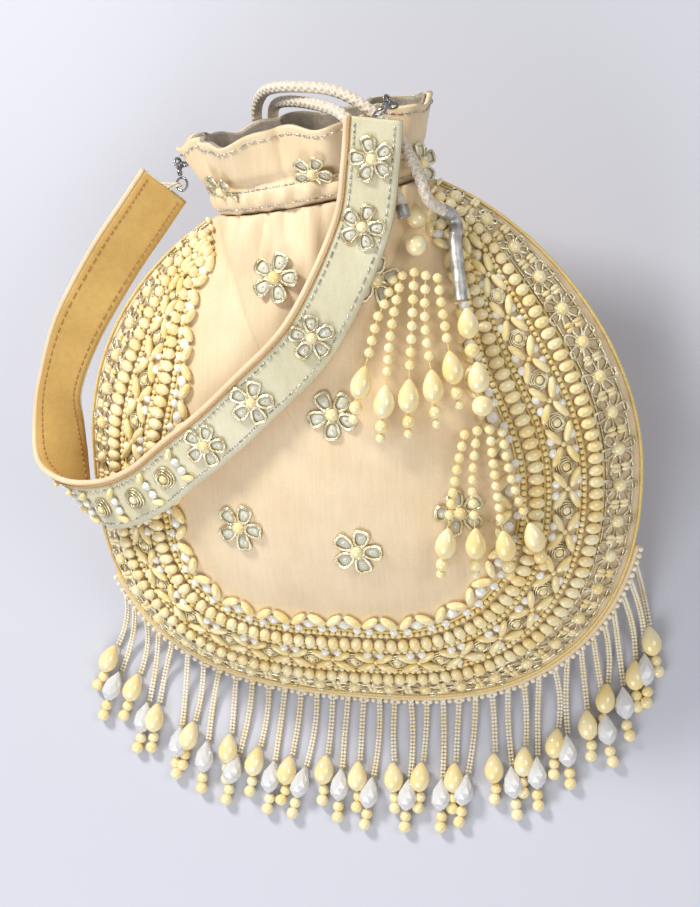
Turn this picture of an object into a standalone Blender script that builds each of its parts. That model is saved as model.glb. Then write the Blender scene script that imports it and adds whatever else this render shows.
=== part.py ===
"""Potli bag: a round embroidered drawstring pouch that lies on its back, as it comes to rest.

The bag's own frame is (u, t, w) in metres: u to the wearer's right, t out of the embroidered
front, w up the bag from its widest line. place() turns it into the world, with the bag leaning
back by LEAN, its flattened back on the floor and +Z up.
"""
import math

import bmesh
import bpy
import numpy as np
from mathutils import Matrix, Vector

# Driving dimensions, in metres and degrees.
LEAN = math.radians(68)          # how far the bag's axis leans back from upright
CENTRE_HEIGHT = 0.043            # height of the widest line's middle above the floor
HALF_WIDTH = 0.1155
TOP_RISE = 0.117                 # the outline's height above the widest line, were it closed
BOTTOM_DROP = 0.107
FRONT_DEPTH = 0.048
BACK_DEPTH = 0.046
SHELL = 0.0014                   # outer silk with its stiffening
SEAM_ALLOWANCE = 0.0025
GAP = 0.0003                     # clearance between pieces that touch
NECK = (-0.012, 0.1065)          # (u, w) of the gathered neck's middle
NECK_HALF = 0.043
NECK_DEPTH = 0.024
NECK_TILT = math.radians(11)
COLLAR_HEIGHT = 0.030
COLLAR_FLARE = 0.009
FOLDS = 7                        # gathers round the collar
STRAP_WIDTH = 0.021
STRAP_FACE = 0.0013
STRAP_LINING = 0.0009
CORD = 0.0046
STRANDS = 37                     # bead strands in the fringe
FRINGE_SPAN = (0.294, 0.700)     # where it starts and ends along the seam
SEAM_STEPS = 32
NECK_STEPS = 12

NECK_ACROSS = np.array([math.cos(NECK_TILT), math.sin(NECK_TILT)])
NECK_UP = np.array([-math.sin(NECK_TILT), math.cos(NECK_TILT)])

# Bead rows on the front: name, near and far edge as distances from the seam, height.
ROWS = [
    ("flower_ring", 0.0079, 0.0164, 0.0016),
    ("outer_pearl_row", 0.0200, 0.0270, 0.0040),
    ("outer_seed_row", 0.0277, 0.0290, 0.0016),
    ("rosette_band", 0.0297, 0.0420, 0.0032),
    ("middle_seed_row", 0.0428, 0.0441, 0.0016),
    ("inner_pearl_row", 0.0450, 0.0520, 0.0040),
    ("inner_seed_row", 0.0528, 0.0541, 0.0016),
    ("scallop_border", 0.0550, 0.0650, 0.0030),
]
FIELD_FLOWERS = [(-0.0225, 0.0807), (0.0168, 0.0804), (0.0017, 0.0300), (-0.0388, -0.0192),
                 (0.0097, -0.0255), (0.0500, -0.0090)]

# The strap's middle line from its right end to its left end, and the direction across it, from
# its lower edge to its piped upper edge. It lies over the front, turns over at the left of the
# bag and comes back to the neck with its lining in front.
STRAP_ROUTE = [
    (0.0190, 0.0330, 0.1430), (0.0175, 0.0345, 0.1250), (0.0140, 0.0360, 0.1030),
    (0.0038, 0.0435, 0.0770), (-0.0086, 0.0490, 0.0560), (-0.0285, 0.0510, 0.0360),
    (-0.0442, 0.0500, 0.0210), (-0.0613, 0.0470, 0.0070), (-0.0780, 0.0415, -0.0070),
    (-0.0980, 0.0315, -0.0175), (-0.1150, 0.0185, -0.0190), (-0.1265, 0.0060, -0.0095),
    (-0.1305, -0.0010, 0.0060), (-0.1285, -0.0010, 0.0240), (-0.1185, 0.0000, 0.0484),
    (-0.1010, 0.0000, 0.0764), (-0.0872, 0.0000, 0.0950), (-0.0772, 0.0000, 0.1085),
]
STRAP_ACROSS = [
    (-1.00, 0.00, 0.10), (-0.99, 0.00, 0.12), (-0.96, 0.00, 0.25),
    (-0.88, 0.05, 0.47), (-0.75, 0.08, 0.65), (-0.66, 0.05, 0.75),
    (-0.64, 0.00, 0.77), (-0.62, 0.00, 0.78), (-0.50, 0.05, 0.86),
    (-0.22, 0.15, 0.96), (-0.40, 0.45, 0.80), (-0.80, 0.40, 0.42),
    (-0.98, 0.05, 0.05), (-0.94, -0.32, 0.15), (-0.88, -0.15, 0.45),
    (-0.83, 0.00, 0.56), (-0.83, 0.00, 0.56), (-0.84, 0.00, 0.54),
]
STRAP_FLOWERS = [0.050, 0.118, 0.218, 0.296, 0.372]      # places along the strap, 0 to 1
STRAP_ROSES = [0.435, 0.487, 0.535]

LEFT_HITCH = (-0.0712, 0.0000, 0.1180)     # where each clasp hooks its ring: the strap turns
RIGHT_HITCH = (0.0215, 0.0240, 0.1480)     # about the line through the two
HOOK_RADIUS = 0.0021
HOOK_WIRE = 0.0006
RING_RADIUS = 0.0026
RING_WIRE = 0.0005
STEM = 0.0030

CORD_A = [(-0.0385, -0.0262, 0.1130), (-0.0390, -0.0290, 0.1180), (-0.0394, -0.0292, 0.1265),
          (-0.0378, -0.0242, 0.1352), (-0.0320, -0.0120, 0.1405), (-0.0240, -0.0020, 0.1430),
          (-0.0150, 0.0060, 0.1438), (-0.0060, 0.0148, 0.1440), (0.0020, 0.0225, 0.1432),
          (0.0085, 0.0280, 0.1392), (0.0145, 0.0288, 0.1300), (0.0210, 0.0288, 0.1200),
          (0.0262, 0.0290, 0.1115)]
CORD_B = [(-0.0445, -0.0250, 0.1115), (-0.0455, -0.0285, 0.1170), (-0.0458, -0.0280, 0.1260),
          (-0.0435, -0.0200, 0.1370), (-0.0365, -0.0085, 0.1455), (-0.0270, 0.0010, 0.1490),
          (-0.0150, 0.0075, 0.1502), (-0.0030, 0.0130, 0.1500), (0.0080, 0.0190, 0.1470),
          (0.0190, 0.0242, 0.1410), (0.0275, 0.0266, 0.1325), (0.0335, 0.0280, 0.1220),
          (0.0380, 0.0290, 0.1110)]
WRAP_A = [(0.0272, 0.0296, 0.1085), (0.0286, 0.0306, 0.1045)]
WRAP_B = [(0.0424, 0.0975), (0.0440, 0.0890), (0.0466, 0.0770), (0.0478, 0.0700)]
OVER_ROWS = 0.0052               # height of the bead rows over the front, with clearance
# Beads at the head of each tassel: name, (u, w), radius, length where it's a drop.
TASSEL_BEADS = [
    ("tassel_a_drop", (0.0295, 0.0985), 0.0037, 0.0096),
    ("tassel_a_pearl", (0.0305, 0.0888), 0.0043, None),
    ("tassel_b_drop_1", (0.0505, 0.0623), 0.0039, 0.0110),
    ("tassel_b_pearl_1", (0.0526, 0.0530), 0.0030, None),
    ("tassel_b_drop_2", (0.0550, 0.0436), 0.0042, 0.0110),
    ("tassel_b_pearl_2", (0.0568, 0.0334), 0.0042, None),
]
TASSEL_A_ENDS = [(0.0142, 0.0430), (0.0225, 0.0363), (0.0312, 0.0381), (0.0396, 0.0412),
                 (0.0460, 0.0475)]
TASSEL_B_ENDS = [(0.0441, -0.0177), (0.0545, -0.0183), (0.0647, -0.0200), (0.0745, -0.0177)]

SILK = (0.86, 0.72, 0.50)
PALE_SILK = (0.78, 0.76, 0.58)
GOLD_LINING = (0.62, 0.42, 0.18)
GREY_LINING = (0.40, 0.34, 0.28)
PEARL = (0.90, 0.80, 0.55)
WIRE = (0.70, 0.62, 0.42)
STEEL = (0.60, 0.60, 0.62)
CORD_IVORY = (0.88, 0.82, 0.76)


def clear_scene():
    for obj in list(bpy.data.objects):
        bpy.data.objects.remove(obj, do_unlink=True)


def make_collection(name):
    collection = bpy.data.collections.new(name)
    bpy.context.scene.collection.children.link(collection)
    return collection


def material(name, colour, roughness, metallic=0.0):
    made = bpy.data.materials.get(name) or bpy.data.materials.new(name)
    made.use_nodes = True
    shader = made.node_tree.nodes["Principled BSDF"]
    shader.inputs["Base Color"].default_value = (*colour, 1.0)
    shader.inputs["Roughness"].default_value = roughness
    shader.inputs["Metallic"].default_value = metallic
    return made


def place(u, t, w):
    """World place of a point given in the bag's own frame."""
    return Vector((u, w * math.sin(LEAN) - t * math.cos(LEAN),
                   CENTRE_HEIGHT + w * math.cos(LEAN) + t * math.sin(LEAN)))


def turn(u, t, w):
    """World direction of a direction given in the bag's own frame."""
    return (place(u, t, w) - place(0, 0, 0)).normalized()


def outline_radius(angle):
    sine, cosine = math.sin(angle), math.cos(angle)
    power = 1.9 if sine > 0 else 2.62 - 0.28 * cosine
    rise = TOP_RISE if sine > 0 else BOTTOM_DROP
    return (abs(cosine / HALF_WIDTH) ** power + abs(sine / rise) ** power) ** (-1 / power)


def neck_point(turn_angle, inset=0.0):
    """(u, t, w) on the neck's oval; 0 is its right end and pi its left end."""
    across = (NECK_HALF - 1.6 * inset) * math.cos(turn_angle)
    u, w = np.array(NECK) + across * NECK_ACROSS
    return u, (NECK_DEPTH - inset) * math.sin(turn_angle), w


def end_angle(turn_angle):
    u, _, w = neck_point(turn_angle)
    return math.atan2(w, u)


RIGHT_END, LEFT_END = end_angle(0.0), end_angle(math.pi)
RIGHT_FIT = math.hypot(neck_point(0)[0], neck_point(0)[2]) / outline_radius(RIGHT_END)
LEFT_FIT = math.hypot(neck_point(math.pi)[0], neck_point(math.pi)[2]) / outline_radius(LEFT_END)


def seam_point(share, outward=0.0):
    """(u, t, w) on the seam; share 0 is the neck's left end and 1 its right end, by the bottom."""
    angle = LEFT_END + share * (2 * math.pi + RIGHT_END - LEFT_END)
    ends = [(RIGHT_FIT, 2 * math.pi + RIGHT_END - angle), (LEFT_FIT, angle - LEFT_END)]
    fit = 1 + sum((k - 1) * math.exp(-(away / 0.5) ** 2) for k, away in ends)
    radius = outline_radius(angle % (2 * math.pi)) * fit + outward
    return radius * math.cos(angle), 0.0, radius * math.sin(angle)


def rim_stations(inset, coarser=1):
    """The panel's edge all round: the seam from left to right, then back over the neck."""
    seam_steps, neck_steps = SEAM_STEPS // coarser, NECK_STEPS // coarser
    seam = [seam_point(i / seam_steps, -inset) for i in range(seam_steps + 1)]
    neck_inset = inset * SHELL / SEAM_ALLOWANCE
    neck = [neck_point(math.pi * i / neck_steps, neck_inset) for i in range(1, neck_steps)]
    if inset:
        seam[0], seam[-1] = neck_point(math.pi, neck_inset), neck_point(0, neck_inset)
    return seam + neck


def dome(rim, reach, depth):
    """(u, t, w) on a panel, at reach 0 in the middle to 1 at this point of its rim."""
    bulge = depth * (1 - reach ** 2.2) ** 0.9
    return rim[0] * reach, rim[1] * reach ** 3 + bulge, rim[2] * reach


def front(share, distance, lift=0.0):
    """(u, t, w) on the front, at a distance from the seam point, lifted along the normal."""
    rim = seam_point(share)
    reaches = np.linspace(1.0, 0.2, 121)
    line = np.array([dome(rim, reach, FRONT_DEPTH) for reach in reaches])
    run = np.concatenate([[0], np.cumsum(np.linalg.norm(np.diff(line, axis=0), axis=1))])
    point = np.array([np.interp(distance, run, line[:, axis]) for axis in range(3)])
    return point + lift * front_normal(point[0], point[2])


def front_height(u, w):
    """t of the front's surface over (u, w)."""
    angle = math.atan2(w, u) % (2 * math.pi)
    if RIGHT_END < angle < LEFT_END:
        ray = np.array([math.cos(angle), math.sin(angle)])
        reach_of_neck = np.dot(NECK, NECK_UP) / np.dot(ray, NECK_UP)
        across = np.dot(ray * reach_of_neck - np.array(NECK), NECK_ACROSS) / NECK_HALF
        rim = (0, NECK_DEPTH * math.sqrt(max(0.0, 1 - across ** 2)), 0)
        reach = math.hypot(u, w) / reach_of_neck
    else:
        share = ((angle - LEFT_END) % (2 * math.pi)) / (2 * math.pi + RIGHT_END - LEFT_END)
        rim = (0, 0, 0)
        edge = seam_point(share)
        reach = math.hypot(u, w) / math.hypot(edge[0], edge[2])
    return dome(rim, min(reach, 1.0), FRONT_DEPTH)[1]


def front_normal(u, w):
    step = 0.0015
    slope_u = (front_height(u + step, w) - front_height(u - step, w)) / (2 * step)
    slope_w = (front_height(u, w + step) - front_height(u, w - step)) / (2 * step)
    normal = np.array([-slope_u, 1.0, -slope_w])
    return normal / np.linalg.norm(normal)


def on_front(u, w, lift):
    point = np.array([u, front_height(u, w), w])
    return tuple(point + lift * front_normal(u, w))


def smooth(points, count):
    """A Catmull-Rom curve through the points, at an even count of places."""
    knots = np.array(points, float)
    ends = np.vstack([2 * knots[0] - knots[1], knots, 2 * knots[-1] - knots[-2]])
    places = np.linspace(0, len(knots) - 1, count)
    made = []
    for value in places:
        i = min(int(value), len(knots) - 2)
        f = value - i
        a, b, c, d = ends[i:i + 4]
        made.append(0.5 * ((2 * b) + (c - a) * f + (2 * a - 5 * b + 4 * c - d) * f ** 2
                           + (3 * b - a - 3 * c + d) * f ** 3))
    return np.array(made)


def new_object(name, vertices, faces, finish, origin=Vector((0, 0, 0))):
    """A mesh object of world points; its normals face out and its origin is where asked."""
    mesh = bpy.data.meshes.new(name)
    mesh.from_pydata([Vector(v) - origin for v in vertices], [], faces)
    work = bmesh.new()
    work.from_mesh(mesh)
    bmesh.ops.remove_doubles(work, verts=work.verts, dist=1e-6)
    bmesh.ops.recalc_face_normals(work, faces=work.faces)
    work.to_mesh(mesh)
    work.free()
    mesh.materials.append(finish)
    mesh.shade_smooth()
    made = bpy.data.objects.new(name, mesh)
    made.location = origin
    PARTS.objects.link(made)
    return made


def strip_faces(rings, closed_ring, closed_run=False):
    """Faces between rings of the same number of points, listed one ring after another."""
    count = len(rings[0])
    faces = []
    runs = len(rings) if closed_run else len(rings) - 1
    for i in range(runs):
        for j in range(count if closed_ring else count - 1):
            a, b = i * count + j, i * count + (j + 1) % count
            c, d = (i + 1) % len(rings) * count + j, (i + 1) % len(rings) * count + (j + 1) % count
            faces.append((a, b, d, c))
    return faces


def loft(name, rings, finish, origin=Vector((0, 0, 0)), closed_run=False, split=False):
    """A closed solid through closed rings, with both ends capped unless it closes on itself.

    Twisted layers that lie on each other are split into triangles the same way."""
    faces = strip_faces(rings, True, closed_run)
    if split:
        faces = [half for a, b, d, c in faces for half in ((a, b, d), (a, d, c))]
    count = len(rings[0])
    if not closed_run:
        faces += [tuple(range(count)), tuple(range((len(rings) - 1) * count, len(rings) * count))]
    return new_object(name, [point for ring in rings for point in ring], faces, finish, origin)


def tube_rings(points, radii, sides):
    """Rings of a round tube of changing radius along world points."""
    points = [Vector(p) for p in points]
    rings = []
    normal = None
    for i, point in enumerate(points):
        ahead = (points[min(i + 1, len(points) - 1)] - points[max(i - 1, 0)]).normalized()
        if normal is None:
            normal = ahead.orthogonal().normalized()
        normal = (normal - normal.dot(ahead) * ahead).normalized()
        side = ahead.cross(normal)
        ring = []
        for j in range(sides):
            angle = 2 * math.pi * j / sides
            ring.append(point + radii[i] * (math.cos(angle) * normal + math.sin(angle) * side))
        rings.append(ring)
    return rings


def wire(name, points, thickness, finish, origin=Vector((0, 0, 0)), cyclic=False, sides=2):
    """A round wire or cord: a poly curve with a bevel."""
    data = bpy.data.curves.new(name, "CURVE")
    data.dimensions = "3D"
    data.bevel_depth = thickness / 2
    data.bevel_resolution = sides
    data.use_fill_caps = not cyclic
    spline = data.splines.new("POLY")
    spline.points.add(len(points) - 1)
    for spot, point in zip(spline.points, points):
        spot.co = (*(Vector(point) - origin), 1.0)
    spline.use_cyclic_u = cyclic
    data.materials.append(finish)
    made = bpy.data.objects.new(name, data)
    made.location = origin
    PARTS.objects.link(made)
    return made


def make_panel(name, side, depth, reaches, finish):
    """One half of the pouch: a domed shell, open where it meets the other half and at the neck."""
    surfaces = []
    for inset, thin in ((0.0, 0.0), (SEAM_ALLOWANCE, SHELL)):
        rims = rim_stations(inset)
        for reach in reaches:
            ring = []
            for u, t, w in (dome(rim, reach, depth - thin) for rim in rims):
                spot = place(u, side * (t + GAP / 2), w)
                spot.z = max(spot.z, thin)
                ring.append(spot)
            surfaces.append(ring)
    half = len(reaches)
    outer, inner = surfaces[:half], surfaces[half:]
    rings = outer + inner[::-1]
    return new_object(name, [p for ring in rings for p in ring], strip_faces(rings, True), finish)


def make_row(name, near, far, height, finish):
    """One row of beadwork, as the band it fills, round the front from the neck to the neck."""
    base = 0.0007
    rings = []
    for i in range(1, SEAM_STEPS):
        share = i / SEAM_STEPS
        low_out, low_in = front(share, near, base), front(share, far, base)
        high_in, high_out = front(share, far, base + height), front(share, near, base + height)
        rings.append([place(*p) for p in (low_out, low_in, high_in, high_out)])
    return loft(name, rings, finish)


def make_plaque(name, centre, normal, across, radius, height, petals, finish,
                origin=Vector((0, 0, 0))):
    """A flat embroidered motif: a petalled outline, extruded along its normal."""
    centre, normal = Vector(centre), Vector(normal).normalized()
    across = (Vector(across) - Vector(across).dot(normal) * normal).normalized()
    side = normal.cross(across)
    rings = []
    for level in (GAP, GAP + height):
        ring = []
        for i in range(20):
            angle = 2 * math.pi * i / 20
            reach = radius * (0.84 + 0.16 * math.cos(petals * angle))
            ring.append(centre + reach * (math.cos(angle) * across + math.sin(angle) * side)
                        + level * normal)
        rings.append(ring)
    return loft(name, rings, finish, origin)


def collar_point(turn_angle, height, inset):
    """(u, t, w) on the frilled collar; height 0 is the drawn neck and 1 the rim."""
    flare = COLLAR_FLARE * height ** 1.3
    ruffle = 0.0030 * height * math.cos(FOLDS * turn_angle + 0.6)
    half = NECK_HALF + flare - 1.6 * inset
    deep = NECK_DEPTH - 0.0030 * height + ruffle - inset
    across = half * math.cos(turn_angle) + 0.5 * ruffle * math.cos(turn_angle)
    u, w = np.array(NECK) + across * NECK_ACROSS + (GAP + COLLAR_HEIGHT * height) * NECK_UP
    return u, deep * math.sin(turn_angle), w


def make_collar(name, inset, thickness, finish):
    """A frilled sleeve standing on the neck: outer wall up, inner wall down."""
    steps, levels = 6 * FOLDS, [0.0, 0.3, 0.65, 1.0]
    rings = []
    for wall, heights in ((inset, levels), (inset + thickness, levels[::-1])):
        for height in heights:
            rings.append([place(*collar_point(2 * math.pi * i / steps, height, wall))
                          for i in range(steps)])
    return new_object(name, [p for ring in rings for p in ring],
                      strip_faces(rings, True, closed_run=True), finish)


def make_lining(name, finish):
    """The lining bag inside the pouch: a front and a back half joined along the seam."""
    reaches = [0.0, 0.20, 0.38, 0.54, 0.68, 0.80, 0.90, 1.0]
    coarser = 2
    vertices, faces = [], []
    for layer in (0.0, 0.0008):
        inset = SEAM_ALLOWANCE + 0.0018 + layer
        for side, depth in ((1, FRONT_DEPTH), (-1, BACK_DEPTH)):
            rims = rim_stations(inset, coarser)
            rings = []
            for reach in reaches:
                ring = []
                for rim in rims:
                    u, t, w = dome(rim, reach, depth - SHELL - 0.0022 - layer)
                    spot = place(u, side * t, w)
                    spot.z = max(spot.z, SHELL + 0.0010 + layer)
                    ring.append(spot)
                rings.append(ring)
            start = len(vertices)
            vertices += [p for ring in rings for p in ring]
            faces += [tuple(start + i for i in face) for face in strip_faces(rings, True)]
    count = len(rim_stations(0.0, coarser))
    per_half = len(reaches) * count
    for side in (0, 1):
        outer = side * per_half + (len(reaches) - 1) * count
        inner = outer + 2 * per_half
        loop = list(range(SEAM_STEPS // coarser, count)) + [0]
        for a, b in zip(loop, loop[1:]):
            faces.append((outer + a, outer + b, inner + b, inner + a))
    return new_object(name, vertices, faces, finish)


def strap_frames(count):
    """Middle, direction across and outer normal of the strap, at even places along it."""
    middle = smooth(STRAP_ROUTE, count)
    across = smooth(STRAP_ACROSS, count)
    frames = []
    for i in range(count):
        ahead = Vector(middle[min(i + 1, count - 1)] - middle[max(i - 1, 0)]).normalized()
        wide = Vector(across[i])
        wide = (wide - wide.dot(ahead) * ahead).normalized()
        frames.append((Vector(middle[i]), wide, wide.cross(ahead)))
    if frames[0][2].y < 0:
        frames = [(spot, wide, -normal) for spot, wide, normal in frames]
    return frames


def make_strap_layer(name, inner, outer, width, finish, pivot):
    """One layer of the strap, from its side against the other layer to its visible side."""
    rings = []
    for spot, wide, normal in strap_frames(64):
        ring = []
        for edge, level in ((-1, inner), (1, inner), (1, outer), (-1, outer)):
            ring.append(place(*(spot + edge * width / 2 * wide + level * normal)))
        rings.append(ring)
    return loft(name, rings, finish, pivot, split=True)


def strap_place(share):
    frames = strap_frames(201)
    spot, wide, normal = frames[round(share * 200)]
    return place(*spot), turn(*wide), turn(*normal)


def circle(centre, first, second, radius, start, stop, count):
    points = []
    for i in range(count):
        angle = math.radians(start + (stop - start) * i / (count - 1))
        points.append(centre + radius * (math.cos(angle) * first + math.sin(angle) * second))
    return points


def make_hitch(side, hitch, pivot, axis, toward_bag, toward_strap, steel):
    """Ring on the bag, clasp hook round it, sprung lever that closes the hook, strap ring."""
    centre = place(*hitch)
    inward = (toward_bag - toward_bag.dot(axis) * axis).normalized()
    ring_centre = centre + RING_RADIUS * inward
    ring = circle(ring_centre, axis, inward, RING_RADIUS, 0, 360 * 15 / 16, 16)
    wire(side + "_bag_ring", ring, 2 * RING_WIRE, steel, cyclic=True, sides=1)
    outward = (toward_strap - toward_strap.dot(axis) * axis).normalized()
    cross = axis.cross(outward)
    hook = circle(centre, outward, cross, HOOK_RADIUS, 0, 262, 20)
    stem = [centre + (HOOK_RADIUS + STEM) * outward, centre + (HOOK_RADIUS + 0.0010) * outward]
    wire(side + "_clasp", stem + hook[1:], 2 * HOOK_WIRE, steel, pivot, sides=1)
    lever = circle(centre, outward, cross, HOOK_RADIUS, 290, 336, 7)
    wire(side + "_clasp_lever", lever, 2 * HOOK_WIRE * 0.8, steel, lever[-1])
    far = centre + (HOOK_RADIUS + STEM + GAP + RING_WIRE + RING_RADIUS) * outward
    strap_ring = circle(far, axis, outward, RING_RADIUS, 0, 360 * 15 / 16, 16)
    wire(side + "_strap_ring", strap_ring, 2 * RING_WIRE, steel, pivot, cyclic=True, sides=1)
    return lever[-1]


def make_bead(name, centre, radius, finish, stretch=None):
    """A round bead, or a drop when it's stretched along a direction."""
    work = bmesh.new()
    bmesh.ops.create_uvsphere(work, u_segments=10, v_segments=6, radius=radius)
    if stretch is not None:
        direction, length = stretch
        for vertex in work.verts:
            vertex.co.z *= length / (2 * radius)
            narrow = 1 - 0.45 * max(0.0, vertex.co.z / (length / 2))
            vertex.co.x *= narrow
            vertex.co.y *= narrow
        turned = Vector((0, 0, 1)).rotation_difference(Vector(direction)).to_matrix().to_4x4()
        bmesh.ops.transform(work, matrix=turned, verts=work.verts)
    mesh = bpy.data.meshes.new(name)
    work.to_mesh(mesh)
    work.free()
    mesh.materials.append(finish)
    mesh.shade_smooth()
    made = bpy.data.objects.new(name, mesh)
    made.location = centre
    PARTS.objects.link(made)
    return made


def make_tassel_strand(name, start, end, finish):
    """A strand of pearls lying on the front, ending in a drop and two small pearls."""
    start, end = np.array(start), np.array(end)
    ahead = (end - start) / np.linalg.norm(end - start)
    length = np.linalg.norm(end - start)
    stops = [(0.0, 0.0012), (0.12, 0.0015), (0.55, 0.0015), (1.0, 0.0014)]
    drop = [(-0.0066, 0.0010), (-0.0030, 0.0024), (0.0022, 0.0038), (0.0055, 0.0026),
            (0.0070, 0.0010), (0.0100, 0.0027), (0.0130, 0.0010), (0.0160, 0.0009)]
    points, radii = [], []
    for share, radius in stops:
        points.append(start + share * (length - 0.0100) * ahead)
        radii.append(radius)
    for run, radius in drop:
        points.append(end + run * ahead)
        radii.append(radius)
    world = [place(*on_front(u, w, OVER_ROWS + max(radius, 0.0019))) for (u, w), radius
             in zip(points, radii)]
    rings = tube_rings(world, radii, 6)
    return loft(name, rings, finish)


def fringe_share(index):
    return FRINGE_SPAN[0] + (FRINGE_SPAN[1] - FRINGE_SPAN[0]) * index / (STRANDS - 1)


def fringe_path(index):
    """World points and radii of one fringe strand, from the seam down to the floor."""
    start = place(*seam_point(fringe_share(index), 0.0045))
    side = (index / (STRANDS - 1)) * 2 - 1
    swing = math.radians(-16 * max(0.0, -side) ** 2 + 12 * max(0.0, side) ** 3)
    heading = Vector((math.sin(swing), -math.cos(swing), 0))
    reach = 0.0340 + (0.0060 if index % 2 else 0.0)
    thread = [(0.0, 0.0010), (0.4, 0.0011), (1.0, 0.0009)]
    ends = [(0.0060, 0.0021), (0.0110, 0.0021), (0.0145, 0.0009), (0.0170, 0.0019),
            (0.0232, 0.0010)]
    runs = [(reach * share, radius) for share, radius in thread]
    runs += [(reach + run, radius) for run, radius in ends]
    points = []
    for run, radius in runs:
        drape = max(0.0, 1 - run / (reach * 0.95)) ** 2.2
        floor = radius + 0.0001
        height = floor + max(0.0, start.z - floor) * drape
        points.append(Vector((start.x + run * heading.x, start.y + run * heading.y, height)))
    return points, [radius for _, radius in runs]


def make_fringe(name, finish):
    """The fringe: a header tape along the seam, and the bead strands that grow out of it."""
    half = 0.0009 / (HALF_WIDTH * 5.5)
    shares = [FRINGE_SPAN[0] - 0.010]
    for index in range(STRANDS):
        shares += [fringe_share(index) - half, fringe_share(index) + half]
    shares.append(FRINGE_SPAN[1] + 0.010)
    vertices, faces = [], []
    for share in shares:
        near, far = seam_point(share, GAP), seam_point(share, 0.0028)
        for (u, _, w), t in ((near, -0.0006), (far, -0.0006), (far, 0.0006), (near, 0.0006)):
            vertices.append(place(u, t, w))
    for k in range(len(shares) - 1):
        a, b = 4 * k, 4 * (k + 1)
        faces += [(a, a + 1, b + 1, b), (a + 2, a + 3, b + 3, b + 2), (a + 3, a, b, b + 3)]
        if k % 2 == 0:
            faces.append((a + 1, a + 2, b + 2, b + 1))
            continue
        along = (vertices[b + 1] - vertices[a + 1]).normalized()
        ring = [a + 1, b + 1, b + 2, a + 2]
        points, radii = fringe_path(k // 2)
        for i, point in enumerate(points):
            ahead = (points[min(i + 1, len(points) - 1)] - points[max(i - 1, 0)]).normalized()
            side = (along - along.dot(ahead) * ahead).normalized()
            up = side.cross(ahead)
            up = up if up.z > 0 else -up
            start = len(vertices)
            for across, high in ((-1, -1), (1, -1), (1, 1), (-1, 1)):
                spot = point + radii[i] * (across * side + high * up)
                spot.z = max(spot.z, 0.0)
                vertices.append(spot)
            made = list(range(start, start + 4))
            faces += [(ring[j], ring[(j + 1) % 4], made[(j + 1) % 4], made[j]) for j in range(4)]
            ring = made
        faces.append(tuple(ring))
    last = 4 * (len(shares) - 1)
    faces += [(0, 1, 2, 3), (last, last + 1, last + 2, last + 3)]
    return new_object(name, vertices, faces, finish)


def make_body(silk, lining):
    make_panel("front_panel", 1, FRONT_DEPTH,
               (0.0, 0.18, 0.34, 0.48, 0.60, 0.71, 0.81, 0.90, 0.96, 1.0), silk)
    make_panel("back_panel", -1, BACK_DEPTH,
               (0.0, 0.20, 0.38, 0.54, 0.68, 0.80, 0.90, 0.96, 1.0), silk)
    make_lining("lining_bag", lining)
    make_collar("collar", 0.0, 0.0013, silk)
    make_collar("collar_lining", 0.0027, 0.0008, lining)


def make_beadwork(pearl, thread):
    for name, near, far, height in ROWS:
        make_row(name, near, far, height, pearl)
    for index, (u, w) in enumerate(FIELD_FLOWERS, 1):
        normal = turn(*front_normal(u, w))
        make_plaque(f"field_flower_{index}", place(u, front_height(u, w), w), normal,
                    turn(1, 0, 0), 0.0098, 0.0014, 5, thread)


def make_strap(face, lining, thread, pivot):
    make_strap_layer("strap_face", GAP / 2, GAP / 2 + STRAP_FACE, STRAP_WIDTH, face, pivot)
    make_strap_layer("strap_lining", -GAP / 2, -GAP / 2 - STRAP_LINING, STRAP_WIDTH,
                     lining, pivot)
    for kind, shares, radius, petals in (("flower", STRAP_FLOWERS, 0.0088, 5),
                                         ("rose", STRAP_ROSES, 0.0060, 4)):
        for index, share in enumerate(shares, 1):
            spot, wide, normal = strap_place(share)
            base = spot + (2 * GAP + STRAP_FACE) * normal
            make_plaque(f"strap_{kind}_{index}", base, normal, wide, radius, 0.0014, petals,
                        thread, pivot)


def make_cords(ivory, silver):
    wrap_b = [on_front(u, w, OVER_ROWS + CORD / 2 + 0.0004) for u, w in WRAP_B]
    for letter, route, count, wrapped in (("a", CORD_A + WRAP_A, 34, 3),
                                          ("b", CORD_B + wrap_b, 42, 9)):
        points = [place(*p) for p in smooth(route, count)]
        wire("drawstring_" + letter, points[:-wrapped], CORD, ivory)
        ahead = (points[1 - wrapped] - points[-wrapped]).normalized()
        rest = [points[-wrapped - 1] + 2 * GAP * ahead] + points[-wrapped:]
        wire("end_wrap_" + letter, rest, CORD + 0.0008, silver)


def make_tassels(pearl):
    down = turn(0.1, 0.12, -1)
    for name, (u, w), radius, length in TASSEL_BEADS:
        spot = place(*on_front(u, w, OVER_ROWS + radius))
        make_bead(name, spot, radius, pearl, None if length is None else (-down, length))
    for letter, ends, head in (("a", TASSEL_A_ENDS, (0.0305, 0.0828)),
                               ("b", TASSEL_B_ENDS, (0.0576, 0.0272))):
        middle = (len(ends) - 1) / 2
        for index, end in enumerate(ends):
            start = (head[0] + (index - middle) * 0.0040, head[1] - 0.0012 * abs(index - middle))
            make_tassel_strand(f"tassel_{letter}_strand_{index + 1}", start, end, pearl)


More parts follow.
